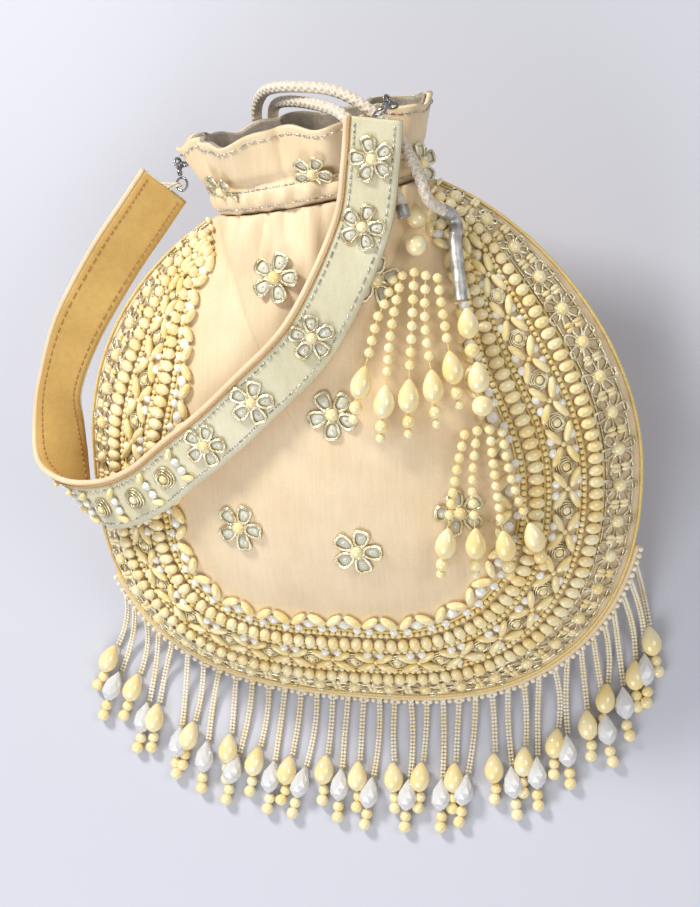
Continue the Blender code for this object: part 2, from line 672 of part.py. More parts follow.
def build():
    silk = material("ivory_silk", SILK, 0.65)
    pale = material("pale_silk", PALE_SILK, 0.6)
    grey = material("grey_lining", GREY_LINING, 0.7)
    gold = material("gold_lining", GOLD_LINING, 0.8)
    pearl = material("pearl_bead", PEARL, 0.2)
    thread = material("metal_thread", WIRE, 0.35, 0.8)
    steel = material("bright_steel", STEEL, 0.2, 1.0)
    ivory = material("ivory_cord", CORD_IVORY, 0.8)
    left, right = place(*LEFT_HITCH), place(*RIGHT_HITCH)
    axis = (right - left).normalized()
    make_body(silk, grey)
    make_beadwork(pearl, thread)
    make_fringe("bead_fringe", pearl)
    make_strap(pale, gold, thread, left)
    make_hitch("left", LEFT_HITCH, left, axis, turn(1.0, 0.0, 0.2), turn(-0.55, 0, -0.84), steel)
    make_hitch("right", RIGHT_HITCH, left, axis, turn(0, -0.7, -0.7), turn(-0.1, 0.8, -0.3), steel)
    make_cords(ivory, material("silver_thread", STEEL, 0.4, 0.8))
    make_tassels(pearl)


clear_scene()
PARTS = make_collection("potli_bag")
build()
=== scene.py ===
"""Looks of the potli bag: a round embroidered drawstring pouch lying on its back.

The bag's own frame is (u, t, w) in metres: u to the right, t out of the embroidered front, w up
the bag. place() turns it into the world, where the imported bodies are.
"""
import math
import random

import bmesh
import bpy
import numpy as np
from mathutils import Matrix, Vector


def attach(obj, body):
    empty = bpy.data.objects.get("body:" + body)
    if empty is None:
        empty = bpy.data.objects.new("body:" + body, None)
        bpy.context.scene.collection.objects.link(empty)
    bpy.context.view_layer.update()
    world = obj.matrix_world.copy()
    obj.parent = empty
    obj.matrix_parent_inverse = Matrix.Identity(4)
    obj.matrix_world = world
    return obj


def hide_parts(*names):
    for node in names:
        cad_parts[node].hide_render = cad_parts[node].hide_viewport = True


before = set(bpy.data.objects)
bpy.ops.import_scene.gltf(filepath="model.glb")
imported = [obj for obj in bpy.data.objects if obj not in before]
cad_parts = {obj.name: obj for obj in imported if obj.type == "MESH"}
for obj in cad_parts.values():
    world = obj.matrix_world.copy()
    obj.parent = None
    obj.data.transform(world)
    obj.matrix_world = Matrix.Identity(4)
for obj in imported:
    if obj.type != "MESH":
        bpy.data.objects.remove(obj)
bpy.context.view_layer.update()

# Driving dimensions, in metres and degrees.
LEAN = math.radians(68)          # how far the bag's axis leans back from upright
CENTRE_HEIGHT = 0.043            # height of the widest line's middle above the floor
HALF_WIDTH = 0.1155
TOP_RISE = 0.117                 # the outline's height above the widest line, were it closed
BOTTOM_DROP = 0.107
FRONT_DEPTH = 0.048
BACK_DEPTH = 0.046
SHELL = 0.0014                   # outer silk with its stiffening
SEAM_ALLOWANCE = 0.0025
GAP = 0.0003                     # clearance between pieces that touch
NECK = (-0.012, 0.1065)          # (u, w) of the gathered neck's middle
NECK_HALF = 0.043
NECK_DEPTH = 0.024
NECK_TILT = math.radians(11)
COLLAR_HEIGHT = 0.030
COLLAR_FLARE = 0.009
FOLDS = 7                        # gathers round the collar
STRAP_WIDTH = 0.021
STRAP_FACE = 0.0013
STRAP_LINING = 0.0009
CORD = 0.0046
STRANDS = 37                     # bead strands in the fringe
FRINGE_SPAN = (0.294, 0.700)     # where it starts and ends along the seam
FRINGE_REACH = 0.0270            # length of a shorter thread over the floor, to its drop

NECK_ACROSS = np.array([math.cos(NECK_TILT), math.sin(NECK_TILT)])
NECK_UP = np.array([-math.sin(NECK_TILT), math.cos(NECK_TILT)])

# Bead rows on the front: name, near and far edge as distances from the seam, height.
ROWS = [
    ("flower_ring", 0.0079, 0.0164, 0.0016),
    ("outer_pearl_row", 0.0200, 0.0270, 0.0040),
    ("outer_seed_row", 0.0277, 0.0290, 0.0016),
    ("rosette_band", 0.0297, 0.0420, 0.0032),
    ("middle_seed_row", 0.0428, 0.0441, 0.0016),
    ("inner_pearl_row", 0.0450, 0.0520, 0.0040),
    ("inner_seed_row", 0.0528, 0.0541, 0.0016),
    ("scallop_border", 0.0550, 0.0650, 0.0030),
]
FIELD_FLOWERS = [(-0.0225, 0.0807), (0.0168, 0.0804), (0.0017, 0.0300), (-0.0388, -0.0192),
                 (0.0097, -0.0255), (0.0500, -0.0090)]

# The strap's middle line from its right end to its left end, and the direction across it, from
# its lower edge to its piped upper edge. It lies over the front, turns over at the left of the
# bag and comes back to the neck with its lining in front.
STRAP_ROUTE = [
    (0.0190, 0.0330, 0.1430), (0.0175, 0.0345, 0.1250), (0.0140, 0.0360, 0.1030),
    (0.0038, 0.0435, 0.0770), (-0.0086, 0.0490, 0.0560), (-0.0285, 0.0510, 0.0360),
    (-0.0442, 0.0500, 0.0210), (-0.0613, 0.0470, 0.0070), (-0.0780, 0.0415, -0.0070),
    (-0.0980, 0.0315, -0.0175), (-0.1150, 0.0185, -0.0190), (-0.1265, 0.0060, -0.0095),
    (-0.1305, -0.0010, 0.0060), (-0.1285, -0.0010, 0.0240), (-0.1185, 0.0000, 0.0484),
    (-0.1010, 0.0000, 0.0764), (-0.0872, 0.0000, 0.0950), (-0.0772, 0.0000, 0.1085),
]
STRAP_ACROSS = [
    (-1.00, 0.00, 0.10), (-0.99, 0.00, 0.12), (-0.96, 0.00, 0.25),
    (-0.88, 0.05, 0.47), (-0.75, 0.08, 0.65), (-0.66, 0.05, 0.75),
    (-0.64, 0.00, 0.77), (-0.62, 0.00, 0.78), (-0.50, 0.05, 0.86),
    (-0.22, 0.15, 0.96), (-0.40, 0.45, 0.80), (-0.80, 0.40, 0.42),
    (-0.98, 0.05, 0.05), (-0.94, -0.32, 0.15), (-0.88, -0.15, 0.45),
    (-0.83, 0.00, 0.56), (-0.83, 0.00, 0.56), (-0.84, 0.00, 0.54),
]
STRAP_FLOWERS = [0.050, 0.118, 0.218, 0.296, 0.372]      # places along the strap, 0 to 1
STRAP_ROSES = [0.435, 0.487, 0.535]

LEFT_HITCH = (-0.0712, 0.0000, 0.1180)     # where each clasp hooks its ring: the strap turns
RIGHT_HITCH = (0.0215, 0.0240, 0.1480)     # about the line through the two
HOOK_RADIUS = 0.0021
HOOK_WIRE = 0.0006
RING_RADIUS = 0.0026
RING_WIRE = 0.0005
STEM = 0.0030

CORD_A = [(-0.0385, -0.0262, 0.1130), (-0.0390, -0.0290, 0.1180), (-0.0394, -0.0292, 0.1265),
          (-0.0378, -0.0242, 0.1352), (-0.0320, -0.0120, 0.1405), (-0.0240, -0.0020, 0.1430),
          (-0.0150, 0.0060, 0.1438), (-0.0060, 0.0148, 0.1440), (0.0020, 0.0225, 0.1432),
          (0.0085, 0.0280, 0.1392), (0.0145, 0.0288, 0.1300), (0.0210, 0.0288, 0.1200),
          (0.0262, 0.0290, 0.1115)]
CORD_B = [(-0.0445, -0.0250, 0.1115), (-0.0455, -0.0285, 0.1170), (-0.0458, -0.0280, 0.1260),
          (-0.0435, -0.0200, 0.1370), (-0.0365, -0.0085, 0.1455), (-0.0270, 0.0010, 0.1490),
          (-0.0150, 0.0075, 0.1502), (-0.0030, 0.0130, 0.1500), (0.0080, 0.0190, 0.1470),
          (0.0190, 0.0242, 0.1410), (0.0275, 0.0266, 0.1325), (0.0335, 0.0280, 0.1220),
          (0.0380, 0.0290, 0.1110)]
WRAP_A = [(0.0272, 0.0296, 0.1085), (0.0286, 0.0306, 0.1045)]
WRAP_B = [(0.0424, 0.0975), (0.0440, 0.0890), (0.0466, 0.0770), (0.0478, 0.0700)]
OVER_ROWS = 0.0052               # height of the bead rows over the front, with clearance
# Beads at the head of each tassel: name, (u, w), radius, length where it's a drop.
TASSEL_BEADS = [
    ("tassel_a_drop", (0.0295, 0.0985), 0.0037, 0.0096),
    ("tassel_a_pearl", (0.0305, 0.0888), 0.0043, None),
    ("tassel_b_drop_1", (0.0505, 0.0623), 0.0039, 0.0110),
    ("tassel_b_pearl_1", (0.0526, 0.0530), 0.0030, None),
    ("tassel_b_drop_2", (0.0550, 0.0436), 0.0042, 0.0110),
    ("tassel_b_pearl_2", (0.0568, 0.0334), 0.0042, None),
]
TASSEL_A_ENDS = [(0.0142, 0.0430), (0.0225, 0.0363), (0.0312, 0.0381), (0.0396, 0.0412),
                 (0.0460, 0.0475)]
TASSEL_B_ENDS = [(0.0441, -0.0177), (0.0545, -0.0183), (0.0647, -0.0200), (0.0745, -0.0177)]
COLLAR_FLOWERS = [(-0.0467, 0.1111), (-0.0092, 0.1200), (0.0275, 0.1206)]
ROW_SPAN = (0.010, 0.990)         # where the bead rows start and end along the seam
BRAID_TURN = 920.0                # how fast the cords' strands cross, in radians a metre

VIEW_ROUND, VIEW_ABOVE, VIEW_ROLL = 15.0, 18.0, 2.0    # degrees, in the bag's own frame
VIEW_DISTANCE = 0.95
VIEW_RIGHT, VIEW_UP = -0.0041, -0.0006
VIEW_LENS = 92.4


def place(u, t, w):
    """World place of a point given in the bag's own frame."""
    return Vector((u, w * math.sin(LEAN) - t * math.cos(LEAN),
                   CENTRE_HEIGHT + w * math.cos(LEAN) + t * math.sin(LEAN)))


def turn(u, t, w):
    """World direction of a direction given in the bag's own frame."""
    return (place(u, t, w) - place(0, 0, 0)).normalized()


def outline_radius(angle):
    sine, cosine = math.sin(angle), math.cos(angle)
    power = 1.9 if sine > 0 else 2.62 - 0.28 * cosine
    rise = TOP_RISE if sine > 0 else BOTTOM_DROP
    return (abs(cosine / HALF_WIDTH) ** power + abs(sine / rise) ** power) ** (-1 / power)


def neck_point(turn_angle, inset=0.0):
    """(u, t, w) on the neck's oval; 0 is its right end and pi its left end."""
    across = (NECK_HALF - 1.6 * inset) * math.cos(turn_angle)
    u, w = np.array(NECK) + across * NECK_ACROSS
    return u, (NECK_DEPTH - inset) * math.sin(turn_angle), w


def end_angle(turn_angle):
    u, _, w = neck_point(turn_angle)
    return math.atan2(w, u)


RIGHT_END, LEFT_END = end_angle(0.0), end_angle(math.pi)
RIGHT_FIT = math.hypot(neck_point(0)[0], neck_point(0)[2]) / outline_radius(RIGHT_END)
LEFT_FIT = math.hypot(neck_point(math.pi)[0], neck_point(math.pi)[2]) / outline_radius(LEFT_END)


def seam_point(share, outward=0.0):
    """(u, t, w) on the seam; share 0 is the neck's left end and 1 its right end, by the bottom."""
    angle = LEFT_END + share * (2 * math.pi + RIGHT_END - LEFT_END)
    ends = [(RIGHT_FIT, 2 * math.pi + RIGHT_END - angle), (LEFT_FIT, angle - LEFT_END)]
    fit = 1 + sum((k - 1) * math.exp(-(away / 0.5) ** 2) for k, away in ends)
    radius = outline_radius(angle % (2 * math.pi)) * fit + outward
    return radius * math.cos(angle), 0.0, radius * math.sin(angle)


def rim_stations(inset, seam_steps, neck_steps):
    """The panel's edge all round: the seam from left to right, then back over the neck."""
    seam = [seam_point(i / seam_steps, -inset) for i in range(seam_steps + 1)]
    neck_inset = inset * SHELL / SEAM_ALLOWANCE
    neck = [neck_point(math.pi * i / neck_steps, neck_inset) for i in range(1, neck_steps)]
    if inset:
        seam[0], seam[-1] = neck_point(math.pi, neck_inset), neck_point(0, neck_inset)
    return seam + neck


def dome(rim, reach, depth):
    """(u, t, w) on a panel, at reach 0 in the middle to 1 at this point of its rim."""
    bulge = depth * (1 - reach ** 2.2) ** 0.9
    return rim[0] * reach, rim[1] * reach ** 3 + bulge, rim[2] * reach


REACHES = np.linspace(1.0, 0.2, 121)
BULGES = FRONT_DEPTH * (1 - REACHES ** 2.2) ** 0.9


def front(share, distance, lift=0.0):
    """(u, t, w) on the front, at a distance from the seam point, lifted along the normal."""
    u, _, w = seam_point(share)
    line = np.stack([u * REACHES, BULGES, w * REACHES], axis=1)
    run = np.concatenate([[0], np.cumsum(np.linalg.norm(np.diff(line, axis=0), axis=1))])
    point = np.array([np.interp(distance, run, line[:, axis]) for axis in range(3)])
    return point + lift * front_normal(point[0], point[2]) if lift else point


def front_height(u, w):
    """t of the front's surface over (u, w)."""
    angle = math.atan2(w, u) % (2 * math.pi)
    if RIGHT_END < angle < LEFT_END:
        ray = np.array([math.cos(angle), math.sin(angle)])
        reach_of_neck = np.dot(NECK, NECK_UP) / np.dot(ray, NECK_UP)
        across = np.dot(ray * reach_of_neck - np.array(NECK), NECK_ACROSS) / NECK_HALF
        rim = (0, NECK_DEPTH * math.sqrt(max(0.0, 1 - across ** 2)), 0)
        reach = math.hypot(u, w) / reach_of_neck
    else:
        share = ((angle - LEFT_END) % (2 * math.pi)) / (2 * math.pi + RIGHT_END - LEFT_END)
        rim = (0, 0, 0)
        edge = seam_point(share)
        reach = math.hypot(u, w) / math.hypot(edge[0], edge[2])
    return dome(rim, min(reach, 1.0), FRONT_DEPTH)[1]


def front_normal(u, w):
    step = 0.0015
    slope_u = (front_height(u + step, w) - front_height(u - step, w)) / (2 * step)
    slope_w = (front_height(u, w + step) - front_height(u, w - step)) / (2 * step)
    normal = np.array([-slope_u, 1.0, -slope_w])
    return normal / np.linalg.norm(normal)


def on_front(u, w, lift):
    point = np.array([u, front_height(u, w), w])
    return tuple(point + lift * front_normal(u, w))


def smooth(points, count):
    """A Catmull-Rom curve through the points, at an even count of places."""
    knots = np.array(points, float)
    ends = np.vstack([2 * knots[0] - knots[1], knots, 2 * knots[-1] - knots[-2]])
    places = np.linspace(0, len(knots) - 1, count)
    made = []
    for value in places:
        i = min(int(value), len(knots) - 2)
        f = value - i
        a, b, c, d = ends[i:i + 4]
        made.append(0.5 * ((2 * b) + (c - a) * f + (2 * a - 5 * b + 4 * c - d) * f ** 2
                           + (3 * b - a - 3 * c + d) * f ** 3))
    return np.array(made)


def strip_faces(rings, closed_ring, closed_run=False):
    """Faces between rings of the same number of points, listed one ring after another."""
    count = len(rings[0])
    faces = []
    runs = len(rings) if closed_run else len(rings) - 1
    for i in range(runs):
        for j in range(count if closed_ring else count - 1):
            a, b = i * count + j, i * count + (j + 1) % count
            c, d = (i + 1) % len(rings) * count + j, (i + 1) % len(rings) * count + (j + 1) % count
            faces.append((a, b, d, c))
    return faces


def strap_frames(count):
    """Middle, direction across and outer normal of the strap, at even places along it."""
    middle = smooth(STRAP_ROUTE, count)
    across = smooth(STRAP_ACROSS, count)
    frames = []
    for i in range(count):
        ahead = Vector(middle[min(i + 1, count - 1)] - middle[max(i - 1, 0)]).normalized()
        wide = Vector(across[i])
        wide = (wide - wide.dot(ahead) * ahead).normalized()
        frames.append((Vector(middle[i]), wide, wide.cross(ahead)))
    if frames[0][2].y < 0:
        frames = [(spot, wide, -normal) for spot, wide, normal in frames]
    return frames


def strap_place(share):
    frames = strap_frames(201)
    spot, wide, normal = frames[round(share * 200)]
    return place(*spot), turn(*wide), turn(*normal)


def fringe_share(index):
    return FRINGE_SPAN[0] + (FRINGE_SPAN[1] - FRINGE_SPAN[0]) * index / (STRANDS - 1)


# ---------------------------------------------------------------- gathering small things

def ball(around, along):
    """A unit sphere as points and faces: around its axis +Z, and along it."""
    points = [(0.0, 0.0, 1.0)]
    for i in range(1, along):
        tilt = math.pi * i / along
        points += [(math.sin(tilt) * math.cos(2 * math.pi * j / around),
                    math.sin(tilt) * math.sin(2 * math.pi * j / around), math.cos(tilt))
                   for j in range(around)]
    points.append((0.0, 0.0, -1.0))
    last = len(points) - 1
    faces = []
    for j in range(around):
        k = (j + 1) % around
        faces.append((0, 1 + j, 1 + k))
        for i in range(along - 2):
            a, b = 1 + i * around, 1 + (i + 1) * around
            faces.append((a + j, b + j, b + k, a + k))
        faces.append((last, last - around + k, last - around + j))
    return np.array(points), faces


def drop_bead(around, along):
    """A unit teardrop: pointed at +Z, full below the middle."""
    points, faces = ball(around, along)
    narrow = 1 - 0.50 * np.clip(0.5 + 0.5 * points[:, 2], 0, 1) ** 2.2
    points = points * np.stack([narrow, narrow, np.ones(len(points))], axis=1)
    return points, faces


def cut_stone(around, waists):
    """A faceted stone: rings of flat facets between two points."""
    points = [(0.0, 0.0, 1.0)]
    for i, (height, reach) in enumerate(waists):
        points += [(reach * math.cos(2 * math.pi * (j + 0.5 * (i % 2)) / around),
                    reach * math.sin(2 * math.pi * (j + 0.5 * (i % 2)) / around), height)
                   for j in range(around)]
    points.append((0.0, 0.0, -1.0))
    last = len(points) - 1
    faces = []
    for j in range(around):
        k = (j + 1) % around
        faces.append((0, 1 + j, 1 + k))
        for i in range(len(waists) - 1):
            a, b = 1 + i * around, 1 + (i + 1) * around
            if i % 2 == 0:
                faces += [(a + j, b + j, a + k), (b + j, b + k, a + k)]
            else:
                faces += [(a + j, b + k, a + k), (a + j, b + j, b + k)]
        faces.append((last, last - around + k, last - around + j))
    return np.array(points), faces


PEARL_BALL = ball(14, 9)
SEED_BALL = ball(7, 5)
FINE_BALL = ball(6, 4)
RICE_BALL = ball(10, 9)
DROP = drop_bead(14, 12)
STONE = cut_stone(8, [(0.62, 0.60), (0.12, 1.0), (-0.35, 0.92), (-0.80, 0.42)])
LONG_STONE = cut_stone(8, [(0.66, 0.42), (0.30, 0.78), (-0.15, 1.0), (-0.52, 0.90), (-0.85, 0.45)])
SEQUIN = cut_stone(12, [(0.9, 0.30), (0.5, 1.0), (-0.5, 1.0)])


class Pile:
    """Many small things gathered into one mesh, each with one of the piece's finishes."""

    def __init__(self):
        self.points, self.faces, self.kinds, self.flat, self.count = [], [], [], [], 0

    def add(self, points, faces, kind=0, flat=False):
        self.points.append(np.asarray(points, float))
        start = self.count
        self.faces += [tuple(start + i for i in face) for face in faces]
        self.kinds += [kind] * len(faces)
        self.flat += [flat] * len(faces)
        self.count += len(self.points[-1])

    def bead(self, shape, centre, axes, sizes, kind=0, flat=False):
        """A unit shape stretched to sizes along three world axes."""
        points, faces = shape
        matrix = np.array([np.array(a) * s for a, s in zip(axes, sizes)])
        if np.linalg.det(matrix) < 0:
            matrix[0] = -matrix[0]
        self.add(points @ matrix + np.array(centre), faces, kind, flat)

    def round_bead(self, centre, radius, kind=0, shape=None):
        self.bead(shape or PEARL_BALL, centre, np.eye(3), (radius,) * 3, kind)

    def thread(self, points, radius, kind=0, sides=6, closed=False):
        """A tube along world points; radius is one number or one for each point."""
        points = [Vector(p) for p in points]
        radii = [radius] * len(points) if isinstance(radius, float) else radius
        rings = tube_rings(points, radii, sides, closed)
        faces = strip_faces(rings, True, closed)
        if not closed:
            last = (len(rings) - 1) * sides
            faces += [tuple(range(sides))[::-1], tuple(range(last, last + sides))]
        self.add([p for ring in rings for p in ring], faces, kind)

    def make(self, name, finishes, body, nodes):
        """The one mesh object, on its CAD body, standing for its CAD nodes."""
        mesh = bpy.data.meshes.new(name)
        mesh.from_pydata([tuple(p) for p in np.concatenate(self.points)], [], self.faces)
        for finish in finishes:
            mesh.materials.append(finish)
        mesh.polygons.foreach_set("material_index", self.kinds)
        mesh.polygons.foreach_set("use_smooth", [not flat for flat in self.flat])
        work = bmesh.new()
        work.from_mesh(mesh)
        bmesh.ops.recalc_face_normals(work, faces=work.faces)
        work.to_mesh(mesh)
        work.free()
        mesh.update()
        return settle(bpy.data.objects.new(name, mesh), body, nodes)


def settle(piece, body, nodes):
    bpy.context.scene.collection.objects.link(piece)
    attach(piece, body)
    if nodes:
        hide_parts(*nodes)
    return piece


def tube_rings(points, radii, sides, closed=False):
    """Rings of a round tube of changing radius along world points."""
    rings = []
    normal = None
    count = len(points)
    for i, point in enumerate(points):
        before = points[i - 1] if closed else points[max(i - 1, 0)]
        after = points[(i + 1) % count] if closed else points[min(i + 1, count - 1)]
        ahead = (after - before).normalized()
        if normal is None:
            normal = ahead.orthogonal().normalized()
        normal = (normal - normal.dot(ahead) * ahead).normalized()
        side = ahead.cross(normal)
        rings.append([point + radii[i] * (math.cos(2 * math.pi * j / sides) * normal
                                          + math.sin(2 * math.pi * j / sides) * side)
                      for j in range(sides)])
    return rings


# ---------------------------------------------------------------- finishes

class Value:
    """A shader socket that does arithmetic by adding Math nodes."""

    def __init__(self, finish, socket):
        self.finish, self.socket = finish, socket

    def _math(self, operation, first, second):
        return self.finish.node("ShaderNodeMath", {"operation": operation}, {0: first, 1: second})

    def __add__(self, other):
        return self._math("ADD", self, other)

    def __sub__(self, other):
        return self._math("SUBTRACT", self, other)

    def __rsub__(self, other):
        return self._math("SUBTRACT", other, self)

    def __mul__(self, other):
        return self._math("MULTIPLY", self, other)

    def __pow__(self, other):
        return self._math("POWER", self, other)

    def above(self, level):
        return self._math("GREATER_THAN", self, level)

    __radd__, __rmul__ = __add__, __mul__


class Finish:
    """A material on one Principled shader."""

    def __init__(self, name, **constants):
        self.material = bpy.data.materials.new(name)
        self.material.use_nodes = True
        self.tree = self.material.node_tree
        self.shader = self.tree.nodes["Principled BSDF"]
        for socket, value in constants.items():
            value = (*value, 1.0) if isinstance(value, tuple) else value
            self.shader.inputs[socket.replace("_", " ").title().replace("Ior", "IOR")]\
                .default_value = value

    def node(self, kind, settings, inputs, output=0):
        made = self.tree.nodes.new(kind)
        for setting, value in settings.items():
            if setting == "stops":
                for place_at, level in value:
                    stop = made.color_ramp.elements.new(place_at)
                    stop.color = (level, level, level, 1.0)
                for spare in (made.color_ramp.elements[-1], made.color_ramp.elements[0]):
                    if len(made.color_ramp.elements) > len(value):
                        made.color_ramp.elements.remove(spare)
                continue
            setattr(made, setting, value)
        for key, value in inputs.items():
            if isinstance(value, Value):
                self.tree.links.new(value.socket, made.inputs[key])
            else:
                made.inputs[key].default_value = value
        return Value(self, made.outputs[output])

    def feed(self, socket, value):
        self.tree.links.new(value.socket, self.shader.inputs[socket])

    def places(self, stretch):
        """The piece's own coordinates, stretched along the bag's three directions."""
        spot = self.node("ShaderNodeTexCoord", {}, {}, "Object")
        spot = self.node("ShaderNodeMapping", {"vector_type": "POINT"},
                         {"Vector": spot, "Rotation": (LEAN - math.pi / 2, 0.0, 0.0)})
        return self.node("ShaderNodeVectorMath", {"operation": "MULTIPLY"},
                         {0: spot, 1: stretch})

    def grain(self, stretch, detail=2.0, rough=0.55):
        return self.node("ShaderNodeTexNoise", {}, {"Vector": self.places(stretch), "Scale": 1.0,
                                                    "Detail": detail, "Roughness": rough})

    def cells(self, stretch):
        return self.node("ShaderNodeTexVoronoi", {"feature": "F1"},
                         {"Vector": self.places(stretch), "Scale": 1.0})

    def dye(self, share, first, second):
        return self.node("ShaderNodeMix", {"data_type": "RGBA"},
                         {0: share, 6: (*first, 1.0), 7: (*second, 1.0)}, 2)

    def emboss(self, height, depth, strength=1.0):
        self.feed("Normal", self.node("ShaderNodeBump", {},
                                      {"Height": height, "Distance": depth,
                                       "Strength": strength}))


def slub_cloth(name, dark, light, slub, weave, roughness, sheen=0.15):
    """Raw silk: uneven threads one way, a fine weave, and cloudy colour."""
    finish = Finish(name, roughness=roughness, sheen_weight=sheen, sheen_roughness=0.5)
    slubs = finish.grain(slub, 3.0)
    clouds = finish.grain((45.0, 45.0, 45.0), 3.0)
    fine = finish.grain(weave, 1.0)
    tone = slubs * 0.25 + clouds * 0.50 + fine * 0.25
    finish.feed("Base Color", finish.dye((tone - 0.30) * 2.4, dark, light))
    finish.emboss(slubs * 0.5 + fine * 0.6, 0.0003, 0.5)
    return finish.material


def pearl_finish(name, cream, yellow, roughness=0.14):
    """Pearlised glass: cream with warmer beads among it, under a clear coat."""
    finish = Finish(name, roughness=roughness, coat_weight=1.0, coat_roughness=0.03)
    warmth = finish.grain((95.0, 95.0, 95.0), 1.0)
    finish.feed("Base Color", finish.dye((warmth - 0.35) * 3.0, cream, yellow))
    return finish.material


def coiled_wire(name, dark, bright, roughness):
    """Close-wound embroidery wire: fine turns that catch the light."""
    finish = Finish(name, metallic=0.85, roughness=roughness)
    turns = finish.grain((1900.0, 1900.0, 1900.0), 1.0)
    tone = finish.grain((260.0, 260.0, 260.0), 1.0)
    finish.feed("Base Color", finish.dye((tone - 0.3) * 2.4, dark, bright))
    finish.emboss(turns, 0.0002, 0.8)
    return finish.material


def glitter_lining(name):
    """Thin lining shot with glittering specks."""
    finish = Finish(name, roughness=0.55, sheen_weight=0.1)
    speck = finish.cells((1500.0, 1500.0, 1500.0))
    lit = 1 - speck.above(0.34)
    finish.feed("Base Color", finish.dye(finish.grain((300.0, 300.0, 300.0)),
                                         (0.20, 0.165, 0.12), (0.52, 0.45, 0.36)))
    finish.feed("Metallic", lit * 0.7)
    finish.emboss(speck, 0.0002, 0.5)
    return finish.material


def stone_finish(name, colour, clear, roughness=0.06):
    finish = Finish(name, base_color=colour, roughness=roughness, coat_weight=0.6,
                    transmission_weight=clear, coat_roughness=0.03)
    return finish.material


def thread_finish(name, dark, light, roughness, metallic=0.0):
    finish = Finish(name, roughness=roughness, metallic=metallic, sheen_weight=0.1)
    fibres = finish.grain((1400.0, 1400.0, 1400.0), 2.0)
    finish.feed("Base Color", finish.dye((fibres - 0.3) * 2.4, dark, light))
    finish.emboss(fibres, 0.00025, 0.7)
    return finish.material


def make_finishes():
    cloth = dict(
        silk=slub_cloth("ivory_raw_silk", (0.70, 0.53, 0.32), (0.88, 0.72, 0.49),
                        (900.0, 60.0, 60.0), (2300.0, 1700.0, 1700.0), 0.55),
        pale=slub_cloth("pale_green_cream_satin", (0.58, 0.53, 0.33), (0.80, 0.76, 0.56),
                        (500.0, 160.0, 160.0), (2300.0, 1900.0, 1900.0), 0.42),
        gold=slub_cloth("golden_tan_lining", (0.42, 0.24, 0.055), (0.62, 0.40, 0.12),
                        (420.0, 420.0, 160.0), (2400.0, 2100.0, 2100.0), 0.72, 0.05),
        grey=glitter_lining("glittering_grey_lining"),
        cord=thread_finish("ivory_braid", (0.58, 0.49, 0.38), (0.86, 0.79, 0.68), 0.75),
        tan=thread_finish("tan_piping_thread", (0.36, 0.17, 0.04), (0.60, 0.33, 0.10), 0.7),
        yellow=thread_finish("golden_yellow_thread", (0.72, 0.50, 0.12), (0.92, 0.74, 0.32), 0.5),
    )
    shine = dict(
        pearl=pearl_finish("cream_pearl", (0.94, 0.83, 0.52), (0.93, 0.72, 0.31)),
        rice=pearl_finish("rice_pearl", (0.94, 0.81, 0.46), (0.92, 0.70, 0.27), 0.16),
        seed=pearl_finish("ivory_seed_bead", (0.90, 0.83, 0.68), (0.88, 0.76, 0.50), 0.28),
        wire=coiled_wire("silver_gold_coiled_wire", (0.62, 0.50, 0.26), (1.0, 0.95, 0.74), 0.28),
        silver=coiled_wire("silver_wound_thread", (0.34, 0.33, 0.31), (0.80, 0.79, 0.76), 0.4),
        steel=coiled_wire("dark_plated_steel", (0.16, 0.16, 0.17), (0.42, 0.42, 0.42), 0.18),
        crystal=stone_finish("clear_rainbow_crystal", (0.94, 0.95, 0.97), 0.30, 0.08),
        opal=stone_finish("white_opal_stone", (0.97, 0.96, 0.90), 0.08, 0.12),
        sequin=stone_finish("white_petal_sequin", (0.82, 0.80, 0.66), 0.15, 0.3),
    )
    return {**cloth, **shine}


# ---------------------------------------------------------------- cloth pieces

def cloth_shell(name, rings, walls, finish, body, nodes, closed_run=True):
    """A closed cloth solid from closed rings that go out one side and back the other."""
    pile = Pile()
    faces = strip_faces(rings, True, closed_run)
    if not closed_run:
        last = (len(rings) - 1) * len(rings[0])
        faces += [tuple(range(len(rings[0])))[::-1], tuple(range(last, last + len(rings[0])))]
    pile.add([p for ring in rings for p in ring], faces)
    return pile.make(name, finish, body, nodes)


def pucker(u, w):
    """Height of the pleats that fan out of the gathered neck, and of the soft sags below."""
    away = np.array([u, w]) - np.array(NECK)
    across, down = away @ NECK_ACROSS / NECK_HALF, -away @ NECK_UP
    fan = across / (1 + 9.0 * max(down, 0.0))
    pleats = math.sin(21 * fan + 1.1) + 0.6 * math.sin(37 * fan + 0.3)
    soft = math.sin(9 * fan + 140 * down) * math.exp(-(max(down, 0.0) / 0.050) ** 2)
    edge = math.exp(-(abs(across) / 1.15) ** 8)
    return edge * (0.0017 * pleats * math.exp(-(max(down, 0.0) / 0.024)) + 0.0014 * soft)


def make_half(name, node, side, depth, finish):
    """One half of the pouch, with the pleats that the drawn neck pulls into it."""
    surfaces = []
    reaches = [1 - (1 - i / 44) ** 1.25 for i in range(45)]
    for inset, thin in ((0.0, 0.0), (SEAM_ALLOWANCE, SHELL)):
        rims = rim_stations(inset, 176, 48)
        for reach in reaches:
            ring = []
            for rim in rims:
                u, t, w = dome(rim, reach, depth - thin)
                fold = pucker(u, w) if thin == 0.0 else 0.0
                spot = place(u, side * (t + GAP / 2 + fold * min(1.0, t / 0.01)), w)
                spot.z = max(spot.z, thin)
                ring.append(spot)
            surfaces.append(ring)
    half = len(reaches)
    rings = surfaces[:half] + surfaces[half:][::-1]
    return cloth_shell(name, rings, 2, [finish], "bag", [node], closed_run=False)


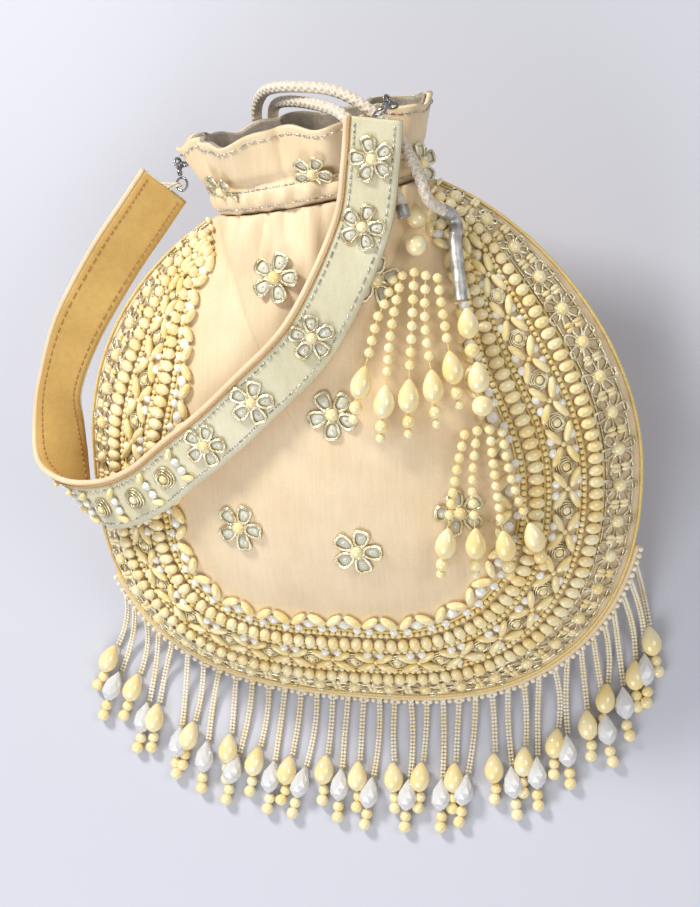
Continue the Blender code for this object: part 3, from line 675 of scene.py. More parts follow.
def make_pouch(finishes):
    make_half("front_panel_silk", "front_panel", 1, FRONT_DEPTH, finishes["silk"])
    make_half("back_panel_silk", "back_panel", -1, BACK_DEPTH, finishes["silk"])
    lining_sides = []
    for side, depth in ((1, FRONT_DEPTH), (-1, BACK_DEPTH)):
        rims = rim_stations(SEAM_ALLOWANCE + 0.0018, 96, 32)
        rings = []
        for step in range(27):
            reach = 1 - (step / 26) ** 1.3
            ring = []
            for rim in rims:
                u, t, w = dome(rim, reach, depth - SHELL - 0.0022)
                crease = 0.0005 * math.sin(260 * u + 3 * math.sin(60 * w))
                spot = place(u, side * (t - abs(crease)), w)
                spot.z = max(spot.z, SHELL + 0.0010)
                ring.append(spot)
            rings.append(ring)
        lining_sides.append(rings)
    pile = Pile()
    for rings in lining_sides:
        pile.add([p for ring in rings for p in ring], strip_faces(rings, True))
    pile.make("lining_bag_cloth", [finishes["grey"]], "bag", ["lining_bag"])


def gathered_collar(turn_angle, height, inset):
    """(u, t, w) on the collar: deep folds at the rim, a cinched line, gathered puffs below."""
    flare = COLLAR_FLARE * height ** 1.3
    rim = max(0.0, (height - 0.30) / 0.70)
    valley = abs(math.sin(0.5 * (FOLDS * turn_angle + 0.6))) ** 0.7
    fold = rim ** 0.7 * (0.0120 * (valley - 0.62) + 0.0012 * math.sin(15 * turn_angle + 1.0))
    band = math.exp(-((height - 0.17) / 0.13) ** 2)
    puff = band * (0.0016 + 0.0014 * math.cos(26 * turn_angle + 1.5 * math.sin(3 * turn_angle)))
    cinch = -0.0022 * (math.exp(-((height - 0.0) / 0.05) ** 2)
                       + 1.1 * math.exp(-((height - 0.37) / 0.07) ** 2))
    swell = fold + puff + cinch
    half = NECK_HALF + flare - 1.6 * inset + 0.45 * swell
    deep = NECK_DEPTH - 0.0022 * height + swell - inset
    frill = 0.0016 * math.sin(FOLDS * turn_angle + 2.2) + 0.0006 * math.sin(17 * turn_angle)
    rise = GAP + COLLAR_HEIGHT * height + frill * height ** 2
    u, w = np.array(NECK) + half * math.cos(turn_angle) * NECK_ACROSS + rise * NECK_UP
    return u, deep * math.sin(turn_angle), w


def collar_dashes(height, count, finish_kind, pile, share=0.66, inset=-0.0003, radius=0.00034):
    """A line of running stitches round the collar."""
    for i in range(count):
        begin, end = (2 * math.pi * (i + part) / count for part in (0.0, share))
        steps = [begin + (end - begin) * k / 3 for k in range(4)]
        pile.thread([place(*gathered_collar(a, height, inset)) for a in steps], radius,
                    finish_kind, 5)


def make_collar(finishes):
    heights = [i / 22 for i in range(23)]
    steps = 280
    for name, node, near, far, finish, slot in (
            ("collar_silk", "collar", 0.0, 0.0011, finishes["silk"], "ivory_silk"),
            ("collar_lining_cloth", "collar_lining", 0.0014, 0.0022, finishes["grey"],
             "grey_lining")):
        rings = []
        for wall, levels in ((near, heights), (far, heights[::-1])):
            for level in levels:
                rings.append([place(*gathered_collar(2 * math.pi * i / steps, level, wall))
                              for i in range(steps)])
        pile = Pile()
        pile.add([p for ring in rings for p in ring], strip_faces(rings, True, True))
        if node == "collar":
            collar_dashes(0.90, 84, 1, pile)
            collar_dashes(0.08, 96, 1, pile)
            collar_dashes(0.31, 96, 1, pile)
            pile.make(name, [finish, finishes["silver"]], "bag", [node])
        else:
            pile.make(name, [finish], "bag", [node])


# ---------------------------------------------------------------- embroidery

class Patch:
    """A flat patch of cloth that a motif is worked on: middle, two directions in it, normal."""

    def __init__(self, middle, across, normal):
        self.middle = np.array(middle)
        self.normal = np.array(normal) / np.linalg.norm(normal)
        across = np.array(across) - np.dot(across, self.normal) * self.normal
        self.across = across / np.linalg.norm(across)
        self.up = np.cross(self.normal, self.across)
        self.close = 1.0

    def at(self, x, y, lift):
        return self.middle + x * self.across + y * self.up + lift * self.normal

    def turned(self, angle):
        across = math.cos(angle) * self.across + math.sin(angle) * self.up
        made = Patch(self.middle, across, self.normal)
        made.close = self.close
        return made


def petal_outline(x, y, angle, long, wide, count=20):
    """A broad petal: narrow toward the flower's middle and squared off at its outer end."""
    spots = []
    for i in range(count):
        turn_by = 2 * math.pi * i / count
        cosine, sine = math.cos(turn_by), math.sin(turn_by)
        square = (abs(cosine) ** 3.0 + abs(sine) ** 3.0) ** (-1 / 3.0)
        reach = long * cosine * square
        side = wide * sine * square * (0.80 + 0.22 * cosine)
        spots.append((x + reach * math.cos(angle) - side * math.sin(angle),
                      y + reach * math.sin(angle) + side * math.cos(angle)))
    return spots


def lay_sequin(pile, patch, outline, middle, kind):
    """A thin petal-shaped sequin, a little domed, with a stitch through its middle."""
    spots = [middle] + outline
    points = [patch.at(x, y, 0.0006 if i else 0.0010) for i, (x, y) in enumerate(spots)]
    points += [patch.at(x, y, 0.0001) for x, y in spots]
    count = len(outline)
    faces = []
    for i in range(count):
        a, b = 1 + i, 1 + (i + 1) % count
        under = count + 1
        faces += [(0, a, b), (under, under + b, under + a), (a, under + a, under + b, b)]
    pile.add(points, faces, kind)
    pile.bead(FINE_BALL, patch.at(*middle, 0.0010), (patch.across, patch.up, patch.normal),
              (0.00045, 0.00045, 0.0003), 0)


def stitch_flower(pile, patch, radius, petals=5, pearl=0.0026, sequins=True, twist=0.0):
    """A flower: petals outlined in doubled coiled wire, each holding a sequin, round a pearl."""
    for i in range(petals):
        angle = twist + 2 * math.pi * i / petals
        reach = 0.62 * radius
        x, y = reach * math.cos(angle), reach * math.sin(angle)
        wide = 0.37 * radius * 5 / petals
        for grow, lift in ((1.0, 0.0009), (0.86, 0.0010)):
            loop = petal_outline(x, y, angle, 0.38 * radius * grow, wide * grow)
            pile.thread([patch.at(px, py, lift) for px, py in loop], 0.00042, 0, 5, True)
        if sequins:
            lay_sequin(pile, patch, petal_outline(x, y, angle, 0.32 * radius, 0.83 * wide, 14),
                       (x, y), 2)
    ring = [patch.at(1.12 * pearl * math.cos(a), 1.12 * pearl * math.sin(a), 0.0006)
            for a in (2 * math.pi * i / 16 for i in range(16))]
    pile.thread(ring, 0.0004, 0, 5, True)
    pile.bead(PEARL_BALL, patch.at(0, 0, 0.5 * pearl),
              (patch.across, patch.up, patch.normal), (pearl, pearl, 0.85 * pearl), 1)


def stitch_rose(pile, patch, radius, pearl=0.0019):
    """A square rose: coiled wire wound in turning squares round a small pearl."""
    for ring, grow in enumerate((1.0, 0.80, 0.61)):
        loop = []
        for i in range(20):
            angle = 2 * math.pi * i / 20 + ring * 0.35
            square = 1 / max(abs(math.cos(angle)), abs(math.sin(angle)))
            reach = radius * grow * (0.72 + 0.22 * (square - 1))
            loop.append(patch.at(reach * math.cos(angle + ring * 0.2),
                                 reach * math.sin(angle + ring * 0.2), 0.0009 + 0.0006 * ring))
        pile.thread(loop, 0.00042, 0, 5, True)
    pile.bead(PEARL_BALL, patch.at(0, 0, 0.0012), (patch.across, patch.up, patch.normal),
              (pearl, pearl, pearl), 1)


def drawn_in(share):
    """How much the bead rows close up on each other, at a place along the seam, at the neck."""
    away = min(share, 1 - share)
    return 1 - 0.68 * math.exp(-(away / 0.075) ** 2)


def row_patches(distance, pitch):
    """Evenly spaced patches along the front, at a distance in from the seam."""
    shares = np.linspace(*ROW_SPAN, 300)
    line = np.array([front(share, distance * drawn_in(share)) for share in shares])
    run = np.concatenate([[0], np.cumsum(np.linalg.norm(np.diff(line, axis=0), axis=1))])
    count = max(2, round(run[-1] / pitch))
    patches = []
    for i in range(count):
        along = run[-1] * (i + 0.5) / count
        spot = np.array([np.interp(along, run, line[:, axis]) for axis in range(3)])
        ahead = np.array([np.interp(along + 0.001, run, line[:, axis]) for axis in range(3)])
        normal = front_normal(spot[0], spot[2])
        patch = Patch(place(*spot), turn(*(ahead - spot)), turn(*normal))
        patch.close = drawn_in(np.interp(along, run, shares))
        patches.append(patch)
    return patches


def row_thread(pile, distance, lift, radius, kind):
    """A couched thread that runs along a row."""
    shares = np.linspace(*ROW_SPAN, 240)
    pile.thread([place(*front(share, distance * drawn_in(share), lift)) for share in shares],
                radius, kind, 5)


def pearl_row(name, node, near, far, finishes, dice):
    """Oval pearls side by side across the row, between two couched yellow threads."""
    pile = Pile()
    middle, reach = (near + far) / 2, (far - near) / 2
    for patch in row_patches(middle, 0.0048):
        patch = patch.turned(dice.uniform(-0.10, 0.10))
        pile.bead(PEARL_BALL, patch.at(0, dice.uniform(-0.0002, 0.0002), 0.0024),
                  (patch.across, patch.up, patch.normal),
                  (0.00228, reach * 0.98 * max(patch.close, 0.6), 0.0022), 0)
    for distance in (near - 0.0003, far + 0.0003):
        row_thread(pile, distance, 0.0007, 0.0006, 1)
    pile.make(name, [finishes["pearl"], finishes["yellow"]], "bag", [node])


def seed_row(name, node, near, far, finishes, dice):
    pile = Pile()
    for patch in row_patches((near + far) / 2, 0.0025):
        pile.bead(SEED_BALL, patch.at(0, dice.uniform(-0.0002, 0.0002), 0.0012),
                  (patch.across, patch.up, patch.normal), (0.00118, 0.00122, 0.00115), 0)
    pile.make(name, [finishes["rice"]], "bag", [node])


def lay_rice(pile, patch, start, end, lift, radius, kind, dice):
    """A rice pearl sewn down from one point of a patch to another."""
    (x0, y0), (x1, y1) = start, end
    angle = math.atan2(y1 - y0, x1 - x0) + dice.uniform(-0.06, 0.06)
    spot = patch.turned(angle)
    half = math.hypot(x1 - x0, y1 - y0) / 2
    pile.bead(RICE_BALL, patch.at((x0 + x1) / 2, (y0 + y1) / 2, lift),
              (spot.across, spot.up, spot.normal), (half, radius, radius), kind)


def rosette_row(name, node, near, far, finishes, dice):
    """Rice pearls in a run of diamonds, a wire rose in each, opal stones between them."""
    pile = Pile()
    middle, reach = (near + far) / 2, (far - near) / 2
    half = 0.0090
    for patch in row_patches(middle, 2 * half):
        reach = (far - near) / 2 * patch.close
        for side_x in (-1, 1):
            for side_y in (-1, 1):
                lay_rice(pile, patch, (side_x * 0.0008, side_y * (reach - 0.0006)),
                         (side_x * (half - 0.0004), side_y * 0.0010), 0.0019, 0.0017, 0, dice)
                pile.bead(STONE, patch.at(side_x * (half - 0.0028), side_y * (reach - 0.0016),
                                          0.0012),
                          (patch.across, patch.up, patch.normal), (0.0019, 0.0019, 0.0017), 3,
                          True)
            pile.bead(SEED_BALL, patch.at(side_x * half, 0, 0.0012),
                      (patch.across, patch.up, patch.normal), (0.0012, 0.0012, 0.0012), 1)
        stitch_rose(RoseKinds(pile), patch.turned(dice.uniform(-0.2, 0.2)),
                    0.0052 * max(patch.close, 0.5))
    for distance in (near - 0.0001, far + 0.0001):
        row_thread(pile, distance, 0.0006, 0.0005, 4)
    pile.make(name, [finishes["rice"], finishes["pearl"], finishes["wire"], finishes["opal"],
                     finishes["yellow"]], "bag", [node])


class RoseKinds:
    """Passes a rose's wire and pearl on to a pile that keeps them as its kinds 2 and 1."""

    def __init__(self, pile):
        self.pile = pile

    def thread(self, points, radius, kind, sides, closed):
        self.pile.thread(points, radius, 2 if kind == 0 else 1, sides, closed)

    def bead(self, shape, centre, axes, sizes, kind):
        self.pile.bead(shape, centre, axes, sizes, 2 if kind == 0 else 1)


def scallop_row(name, node, near, far, finishes, dice):
    """Pairs of rice pearls meeting in points toward the field, an opal stone in each."""
    pile = Pile()
    middle, reach = (near + far) / 2, (far - near) / 2
    for patch in row_patches(middle, 0.0146):
        reach = (far - near) / 2 * max(patch.close, 0.6)
        inward = patch if np.dot(patch.up, inward_of(patch)) > 0 else patch.turned(math.pi)
        for side in (-1, 1):
            lay_rice(pile, inward, (side * 0.0072, -reach * 0.30), (side * 0.0006, reach * 0.80),
                     0.0018, 0.0018, 0, dice)
            pile.bead(STONE, inward.at(side * 0.0050, -reach * 0.85, 0.0012),
                      (inward.across, inward.up, inward.normal), (0.0018, 0.0018, 0.0015), 1,
                      True)
        pile.bead(STONE, inward.at(0, -reach * 0.25, 0.0014),
                  (inward.across, inward.up, inward.normal), (0.0023, 0.0023, 0.0018), 1, True)
    row_thread(pile, near, 0.0006, 0.0006, 3)
    pile.make(name, [finishes["rice"], finishes["opal"], finishes["seed"], finishes["yellow"]],
              "bag", [node])


def inward_of(patch):
    """From a patch on a row toward the middle of the front."""
    return np.array(place(0, FRONT_DEPTH, 0)) - patch.middle


def flower_row(name, node, near, far, finishes, dice):
    """Wire flowers side by side along the edge of the front, small rice pearls between them, wire
    threads along the row and a yellow thread along the seam.
    """
    pile = Pile()
    middle = (near + far) / 2
    for patch in row_patches(middle, 0.0150):
        stitch_flower(pile, patch.turned(dice.uniform(0, 1.2)), 0.0082 * max(patch.close, 0.5), 6,
                      0.0026, False)
        for side in (-1, 1):
            for back in (-1, 1):
                pile.bead(RICE_BALL, patch.at(0.0094 * side - 0.0009 * side, 0.0022 * back,
                                              0.0011),
                          (patch.across, patch.up, patch.normal), (0.0010, 0.0020, 0.0010), 1)
    for distance in (near - 0.0022, far + 0.0016):
        row_thread(pile, distance, 0.0005, 0.00055, 0)
    row_thread(pile, 0.0012, 0.0006, 0.0007, 3)
    pile.make(name, [finishes["wire"], finishes["pearl"], finishes["sequin"],
                     finishes["yellow"]], "bag", [node])


def make_beadwork(finishes, dice):
    makers = {"flower_ring": flower_row, "rosette_band": rosette_row,
              "scallop_border": scallop_row}
    for node, near, far, _ in ROWS:
        maker = makers.get(node) or (seed_row if "seed" in node else pearl_row)
        maker(node + "_beads", node, near, far, finishes, dice)
    motif = [finishes["wire"], finishes["pearl"], finishes["sequin"]]
    for index, (u, w) in enumerate(FIELD_FLOWERS, 1):
        patch = Patch(place(u, front_height(u, w) + pucker(u, w), w), turn(1, 0, 0),
                      turn(*front_normal(u, w)))
        pile = Pile()
        stitch_flower(pile, patch, 0.0098, 5, 0.0026, True, dice.uniform(0, 1.2))
        pile.make(f"field_flower_{index}_embroidery", motif, "bag", [f"field_flower_{index}"])
    pile = Pile()
    for u, w in COLLAR_FLOWERS:
        away = np.array([u, w]) - np.array(NECK)
        height = (away @ NECK_UP - GAP) / COLLAR_HEIGHT
        half = NECK_HALF + COLLAR_FLARE * height ** 1.3
        angle = math.acos(max(-0.98, min(0.98, away @ NECK_ACROSS / half)))
        spots = [Vector(place(*gathered_collar(angle + da, height + dh, -0.0018)))
                 for da, dh in ((0, 0), (0.12, 0), (0, 0.12))]
        across, up = spots[0] - spots[1], spots[2] - spots[0]
        patch = Patch(spots[0], across, across.cross(up))
        stitch_flower(pile, patch, 0.0080, 5, 0.0021, True, dice.uniform(0, 1.2))
    pile.make("collar_flowers", motif, "bag", [])


# ---------------------------------------------------------------- strap and its fastenings

def make_strap(finishes):
    frames = strap_frames(260)
    half = STRAP_WIDTH / 2
    for name, node, inner, outer, kinds, slot in (
            ("strap_face_satin", "strap_face", GAP / 2, GAP / 2 + STRAP_FACE,
             ("pale", "silver", "tan", "silk"), "pale_silk"),
            ("strap_lining_cloth", "strap_lining", -GAP / 2, -GAP / 2 - STRAP_LINING,
             ("gold", "tan"), "gold_lining")):
        pile = Pile()
        rings = []
        for spot, wide, normal in frames:
            ring = [spot + side * half * wide + inner * normal for side in (-1, 1)]
            for i in range(13):
                x = 1 - 2 * i / 12
                crown = outer * (1 - 0.35 * abs(x) ** 8)
                ring.append(spot + x * half * wide + crown * normal)
            rings.append([place(*p) for p in ring])
        last = (len(rings) - 1) * len(rings[0])
        ends = [tuple(range(len(rings[0]))), tuple(range(last, last + len(rings[0])))]
        pile.add([p for ring in rings for p in ring], strip_faces(rings, True) + ends)
        edge = outer * 1.0
        for side, inset in ((-1, 0.0026), (1, 0.0030)):
            run = [place(*(spot + side * (half - inset) * wide + (edge + math.copysign(
                0.0001, outer)) * normal)) for spot, wide, normal in frames]
            for i in range(2, len(run) - 3, 2):
                pile.thread([run[i], run[i].lerp(run[i + 1], 1.25)], 0.00036, 1, 5)
        if node == "strap_face":
            for out, level, radius, kind in ((0.0006, 0.10, 0.00125, 3),
                                             (-0.0009, 1.02, 0.00040, 2)):
                pile.thread([place(*(spot + (half + out) * wide + level * edge * normal))
                             for spot, wide, normal in frames], radius, kind, 7)
        pile.make(name, [finishes[kind] for kind in kinds], "strap", [node])


def make_strap_motifs(finishes, dice):
    motif = [finishes["wire"], finishes["pearl"], finishes["sequin"]]
    for index, share in enumerate(STRAP_FLOWERS, 1):
        spot, wide, normal = strap_place(share)
        pile = Pile()
        patch = Patch(spot + (STRAP_FACE + GAP / 2) * normal, wide, normal)
        stitch_flower(pile, patch, 0.0088, 5, 0.0022, True, dice.uniform(0, 1.2))
        pile.make(f"strap_flower_{index}_embroidery", motif, "strap",
                  [f"strap_flower_{index}"])
    for index, share in enumerate(STRAP_ROSES, 1):
        spot, wide, normal = strap_place(share)
        pile = Pile()
        patch = Patch(spot + (STRAP_FACE + GAP / 2) * normal, wide, normal)
        stitch_rose(pile, patch, 0.0060)
        pile.make(f"strap_rose_{index}_embroidery", motif[:2], "strap",
                  [f"strap_rose_{index}"])
    pile = Pile()
    for share in (0.410, 0.461, 0.511, 0.560, 0.590, 0.622):
        spot, wide, normal = strap_place(share)
        patch = Patch(spot + (STRAP_FACE + GAP / 2) * normal, wide, normal)
        for side in (-1, 1):
            pile.bead(STONE, patch.at(side * 0.0022, 0.0, 0.0014),
                      (patch.across, patch.up, patch.normal), (0.0018, 0.0018, 0.0015), 1, True)
            lay_rice(pile, patch, (side * 0.0078, -0.0024), (side * 0.0040, 0.0024), 0.0016,
                     0.0014, 0, dice)
    pile.make("strap_stones_and_rice_pearls", [finishes["rice"], finishes["opal"]], "strap", [])


def make_hitch(side, hitch, axis, toward_bag, toward_strap, steel):
    """Ring on the bag, clasp hook round it, sprung lever that closes the hook, strap ring."""
    centre = place(*hitch)
    inward = (toward_bag - toward_bag.dot(axis) * axis).normalized()
    outward = (toward_strap - toward_strap.dot(axis) * axis).normalized()
    cross = axis.cross(outward)
    far = centre + (HOOK_RADIUS + STEM + GAP + RING_WIRE + RING_RADIUS) * outward
    pile = Pile()
    pile.thread(circle(centre + RING_RADIUS * inward, axis, inward, RING_RADIUS, 0, 352.5, 48),
                RING_WIRE, 0, 10, True)
    pile.make(side + "_bag_ring_wire", [steel], "bag", [side + "_bag_ring"])
    pile = Pile()
    hook = circle(centre, outward, cross, HOOK_RADIUS, 0, 262, 40)
    stem = [centre + (HOOK_RADIUS + part * STEM) * outward for part in (1.0, 0.8, 0.55, 0.3)]
    swell = [0.0007, 0.0010, 0.0011, 0.0009]
    pile.thread(stem + hook[1:], swell + [0.0008 - 0.0003 * i / 39 for i in range(1, 40)], 0, 12)
    pile.make(side + "_clasp_hook", [steel], "strap", [side + "_clasp"])
    pile = Pile()
    lever = circle(centre, outward, cross, HOOK_RADIUS, 290, 336, 14)
    pile.thread(lever, 0.0005, 0, 10)
    pile.make(side + "_clasp_lever_wire", [steel], side + "_lever", [side + "_clasp_lever"])
    pile = Pile()
    pile.thread(circle(far, axis, outward, RING_RADIUS, 0, 352.5, 48), RING_WIRE, 0, 10, True)
    pile.make(side + "_strap_ring_wire", [steel], "strap", [side + "_strap_ring"])
    return far, cross


def tie_ring(ring, cross, finishes):
    """A stitched loop of thread that ties the left ring to the strap's end."""
    spot, wide, _ = strap_place(1.0)
    toward = (spot - ring).normalized()
    near = ring + RING_RADIUS * toward
    pile = Pile()
    for shift in (-0.0007, 0.0007):
        aside = shift * wide
        loop = [spot + 0.0016 * wide + aside, near + 0.0012 * cross + aside,
                near - 0.0014 * toward + aside, near - 0.0012 * cross + aside,
                spot - 0.0016 * wide + aside]
        pile.thread(smooth([tuple(p) for p in loop], 24), 0.0005, 0, 6)
    pile.make("left_ring_loop", [finishes["cord"]], "strap", [])


def circle(centre, first, second, radius, start, stop, count):
    points = []
    for i in range(count):
        angle = math.radians(start + (stop - start) * i / (count - 1))
        points.append(centre + radius * (math.cos(angle) * first + math.sin(angle) * second))
    return points


# ---------------------------------------------------------------- fringe, cords and tassels

def bead_string(pile, points, radius, pitch, kind, shape, columns=(0.0,), squeeze=1.0):
    """Beads in touching columns along world points."""
    line = np.array([tuple(p) for p in points])
    run = np.concatenate([[0], np.cumsum(np.linalg.norm(np.diff(line, axis=0), axis=1))])
    count = int(run[-1] / pitch)
    for i in range(count):
        reach = (i + 0.5) * run[-1] / count
        spot = Vector([np.interp(reach, run, line[:, axis]) for axis in range(3)])
        ahead = Vector([np.interp(min(reach + 0.0006, run[-1]), run, line[:, axis])
                        - np.interp(max(reach - 0.0006, 0), run, line[:, axis])
                        for axis in range(3)]).normalized()
        side = ahead.cross(Vector((0, 0, 1))).normalized()
        for column in columns:
            pile.bead(shape, spot + column * side, (side, side.cross(ahead), ahead),
                      (radius, radius, radius * squeeze), kind)


def fringe_line(index, dice):
    """World points of one fringe thread, from the seam down to the floor and out over it."""
    start = place(*seam_point(fringe_share(index), 0.0016))
    side = (index / (STRANDS - 1)) * 2 - 1
    swing = math.radians(-16 * max(0.0, -side) ** 2 + 12 * max(0.0, side) ** 3
                         + dice.uniform(-5, 5))
    heading = Vector((math.sin(swing), -math.cos(swing), 0))
    reach = FRINGE_REACH + (0.0055 if index % 2 else 0.0) + dice.uniform(-0.0016, 0.0016)
    curve = dice.uniform(-0.0012, 0.0012)
    points = []
    for step in range(25):
        run = reach * step / 24
        drape = max(0.0, 1 - run / (reach * 0.95)) ** 2.2
        floor = 0.0010
        height = floor + max(0.0, start.z - floor) * drape
        bow = curve * math.sin(math.pi * step / 24)
        points.append(Vector((start.x + run * heading.x - bow * heading.y,
                              start.y + run * heading.y + bow * heading.x, height)))
    return points, (points[-1] - points[-2]).normalized()


def make_fringe(finishes, dice):
    pile = Pile()
    shares = np.linspace(FRINGE_SPAN[0] - 0.010, FRINGE_SPAN[1] + 0.010, 160)
    pile.thread([place(*seam_point(share, 0.0012)) for share in shares], 0.0011, 4, 8)
    for patch_share in np.linspace(FRINGE_SPAN[0] - 0.008, FRINGE_SPAN[1] + 0.008, 96):
        pile.round_bead(place(*seam_point(patch_share, 0.0030)), 0.0012, 0, SEED_BALL)
    for index in range(STRANDS):
        points, ahead = fringe_line(index, dice)
        bead_string(pile, points, 0.00078, 0.00145, 0, FINE_BALL, (-0.00062, 0.00062))
        pearl_end = index % 2 == 0
        length, radius = (0.0125, 0.0046) if pearl_end else (0.0138, 0.0042)
        side = ahead.cross(Vector((0, 0, 1))).normalized()
        up = side.cross(ahead)
        spot = points[-1].copy()
        middle = spot + ahead * length * 0.50
        middle.z = radius + 0.0001
        pile.bead(DROP if pearl_end else LONG_STONE, middle, (side, up, -ahead),
                  (radius, radius, length / 2), 1 if pearl_end else 2, not pearl_end)
        for reach, size in ((length + 0.0022, 0.0024), (length + 0.0066, 0.0026)):
            bead_at = spot + ahead * reach + side * dice.uniform(-0.0006, 0.0006)
            bead_at.z = size + 0.0001
            pile.round_bead(bead_at, size, 1)
        ends = [spot, middle, spot + ahead * (length + 0.0080)]
        ends[2].z = 0.0024
        pile.thread(ends, 0.0003, 3, 5)
    pile.make("bead_fringe_strands", [finishes["seed"], finishes["pearl"], finishes["crystal"],
                                      finishes["yellow"], finishes["silk"]],
              "bag", ["bead_fringe"])


def braid(points, radius, finish, name, nodes):
    """A round braided cord: four strands each way, over and under."""
    around = 24
    dense = smooth(points, int(len(points) * 16))
    line = [Vector(p) for p in dense]
    rings = tube_rings(line, [radius] * len(line), around)
    run = 0.0
    shaped = []
    for i, ring in enumerate(rings):
        run += (line[i] - line[i - 1]).length if i else 0.0
        row = []
        for j, spot in enumerate(ring):
            angle = 2 * math.pi * j / around
            left = math.cos(2 * angle + run * BRAID_TURN) ** 2
            right = math.cos(2 * angle - run * BRAID_TURN) ** 2
            swell = 0.66 + 0.36 * max(left, right)
            row.append(line[i].lerp(spot, swell))
        shaped.append(row)
    pile = Pile()
    faces = strip_faces(shaped, True)
    last = (len(shaped) - 1) * around
    faces += [tuple(range(around))[::-1], tuple(range(last, last + around))]
    pile.add([p for ring in shaped for p in ring], faces)
    return pile.make(name, [finish], "bag", nodes), line


def wound_wrap(name, node, points, finishes):
    """Thread wound tightly round the end of a cord."""
    line = [Vector(p) for p in smooth(points, 14 * len(points))]
    radii = [0.00245 + 0.00022 * (i % 2) for i in range(len(line))]
    radii[0] = radii[-1] = 0.0018
    pile = Pile()
    pile.thread(line, radii, 0, 16)
    return pile.make(name, [finishes["silver"]], "bag", [node])


def tassel_strand(name, node, start, end, finishes, dice):
    """Pearls strung over the front, then a pearl drop and two smaller pearls."""
    start, end = np.array(start), np.array(end)
    length = np.linalg.norm(end - start)
    ahead = (end - start) / length
    aside = np.array([-ahead[1], ahead[0]])
    bow = dice.uniform(-0.0012, 0.0012)
    top = length - 0.0085
    count = int(top / 0.0041)
    pile = Pile()
    spots = []
    for i in range(count):
        reach = (i + 0.5) * top / count
        u, w = start + reach * ahead + bow * math.sin(math.pi * i / count) * aside
        spots.append(place(*on_front(u, w, OVER_ROWS + 0.0019)))
    for spot in spots:
        pile.round_bead(spot, 0.00198, 0)
    u, w = end
    middle = place(*on_front(u, w, OVER_ROWS + 0.0038))
    down = place(*on_front(*(end + 0.004 * ahead), OVER_ROWS + 0.0038)) - middle
    down.normalize()
    side = down.orthogonal().normalized()
    pile.bead(DROP, middle, (side, down.cross(side), -down), (0.0046, 0.0046, 0.0066), 0)
    tail = [middle]
    for reach, radius in ((0.0092, 0.0027), (0.0137, 0.0020)):
        u, w = end + reach * ahead
        tail.append(place(*on_front(u, w, OVER_ROWS + radius)))
        pile.round_bead(tail[-1], radius, 0)
    pile.thread(spots + tail, 0.0003, 1, 5)
    return pile.make(name, [finishes["pearl"], finishes["yellow"]], "bag", [node])


def make_cords(finishes, dice):
    wrap_b = [on_front(u, w, OVER_ROWS + CORD / 2 + 0.0004) for u, w in WRAP_B]
    down = turn(0.1, 0.12, -1)
    side = down.orthogonal().normalized()
    heads = {}
    for node, (u, w), radius, length in TASSEL_BEADS:
        pile = Pile()
        spot = place(*on_front(u, w, OVER_ROWS + radius))
        if length is None:
            pile.round_bead(spot, radius, 0)
        else:
            pile.bead(DROP, spot, (side, down.cross(side), -down),
                      (radius * 1.18, radius * 1.18, length * 0.55), 0)
        heads[node] = pile.make(node + "_bead", [finishes["pearl"]], "bag", [node])
    for letter, route, count, wrapped, ends, head in (
            ("a", CORD_A + WRAP_A, 34, 3, TASSEL_A_ENDS, (0.0305, 0.0828)),
            ("b", CORD_B + wrap_b, 42, 9, TASSEL_B_ENDS, (0.0576, 0.0272))):
        points = [place(*p) for p in smooth(route, count)]
        cord, line = braid([tuple(p) for p in points[:-wrapped]], CORD / 2, finishes["cord"],
                           f"drawstring_{letter}_braid", ["drawstring_" + letter])
        wrap = wound_wrap(f"end_wrap_{letter}_thread", "end_wrap_" + letter,
                          [tuple(p) for p in points[-wrapped - 1:]], finishes)
        middle = (len(ends) - 1) / 2
        strands = []
        for index, end in enumerate(ends):
            start = (head[0] + (index - middle) * 0.0040, head[1] - 0.0012 * abs(index - middle))
            node = f"tassel_{letter}_strand_{index + 1}"
            strands.append(tassel_strand(node + "_pearls", node, start, end, finishes, dice))
        beads = [piece for node, piece in heads.items() if node.startswith("tassel_" + letter)]
        length = sum((b - a).length for a, b in zip(line, line[1:]))
        [tuple(p) for p in line[::8]] + [tuple(line[-1])]
        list(strands if letter == "a" else [])


# ---------------------------------------------------------------- camera, light and floor

def aim(obj, towards_viewer, up):
    right = up.cross(towards_viewer).normalized()
    up = towards_viewer.cross(right)
    turned = Matrix((right, up, towards_viewer)).transposed()
    obj.rotation_euler = turned.to_euler()
    return right, up


def make_camera():
    round_by, above, roll = (math.radians(a) for a in (VIEW_ROUND, VIEW_ABOVE, VIEW_ROLL))
    back = np.array([math.sin(round_by) * math.cos(above), math.cos(round_by) * math.cos(above),
                     math.sin(above)])
    up = np.array([0.0, 0.0, 1.0]) - back[2] * back
    up /= np.linalg.norm(up)
    right = np.cross(up, back)
    if right[0] < 0:
        right = -right
    up = up * math.cos(roll) + right * math.sin(roll)
    camera = bpy.data.objects.new("camera", bpy.data.cameras.new("camera"))
    camera.data.sensor_fit, camera.data.sensor_height = "VERTICAL", 36.0
    camera.data.lens = VIEW_LENS
    camera.data.clip_start = 0.01
    right, up = aim(camera, turn(*back), turn(*up))
    camera.location = (place(0, 0, 0) + VIEW_DISTANCE * turn(*back) + VIEW_RIGHT * right
                       + VIEW_UP * up)
    bpy.context.scene.collection.objects.link(camera)
    bpy.context.scene.camera = camera


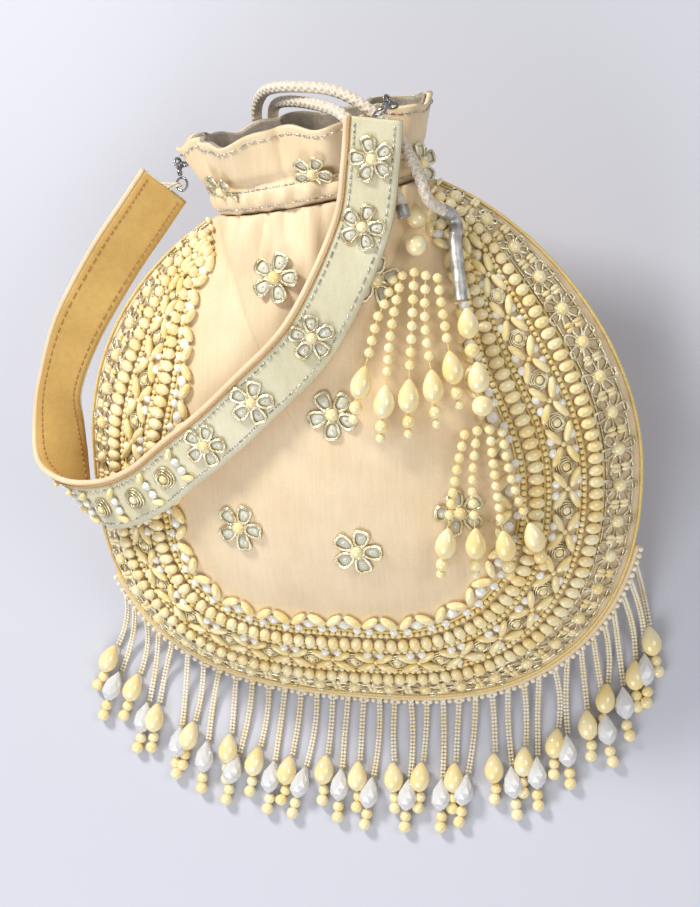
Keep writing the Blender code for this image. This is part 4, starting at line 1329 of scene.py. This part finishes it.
def soft_light(name, spot, size, power, colour, target=(0, 0, 0.03)):
    lamp = bpy.data.objects.new(name, bpy.data.lights.new(name, "AREA"))
    lamp.data.size, lamp.data.energy, lamp.data.color = size, power, colour
    lamp.location = spot
    aim(lamp, (Vector(spot) - Vector(target)).normalized(), Vector((0, 1, 0.01)).normalized())
    bpy.context.scene.collection.objects.link(lamp)


def make_stage():
    mesh = bpy.data.meshes.new("floor")
    reach = 2.5
    mesh.from_pydata([(-reach, -reach, -0.0002), (reach, -reach, -0.0002),
                      (reach, reach, -0.0002), (-reach, reach, -0.0002)], [], [(0, 1, 2, 3)])
    floor = bpy.data.objects.new("floor", mesh)
    floor.data.materials.append(Finish("pale_floor", base_color=(0.57, 0.58, 0.65),
                                       roughness=0.9).material)
    bpy.context.scene.collection.objects.link(floor)
    soft_light("window", (-0.60, 0.62, 0.75), 0.24, 10.8, (1.0, 0.97, 0.92))
    soft_light("low_sheet", (-0.20, -0.75, 0.60), 0.60, 4.4, (0.98, 0.98, 1.0),
               (-0.05, -0.12, 0.0))
    soft_light("room", (0.70, 0.10, 0.80), 0.5, 2.4, (1.0, 0.98, 0.93))
    world = bpy.data.worlds.new("pale_room")
    world.use_nodes = True
    world.node_tree.nodes["Background"].inputs["Color"].default_value = (0.85, 0.87, 0.91, 1.0)
    world.node_tree.nodes["Background"].inputs["Strength"].default_value = 0.42
    bpy.context.scene.world = world
    bpy.context.scene.view_settings.view_transform = "Standard"


def main():
    dice = random.Random(7)
    make_camera()
    finishes = make_finishes()
    make_cords(finishes, dice)
    make_pouch(finishes)
    make_collar(finishes)
    make_beadwork(finishes, dice)
    make_fringe(finishes, dice)
    make_strap(finishes)
    make_strap_motifs(finishes, dice)
    axis = (place(*RIGHT_HITCH) - place(*LEFT_HITCH)).normalized()
    steel = finishes["steel"]
    tie_ring(*make_hitch("left", LEFT_HITCH, axis, turn(1.0, 0.0, 0.2), turn(-0.55, 0, -0.84),
                         steel), finishes)
    make_hitch("right", RIGHT_HITCH, axis, turn(0, -0.7, -0.7), turn(-0.1, 0.8, -0.3), steel)
    make_stage()


main()
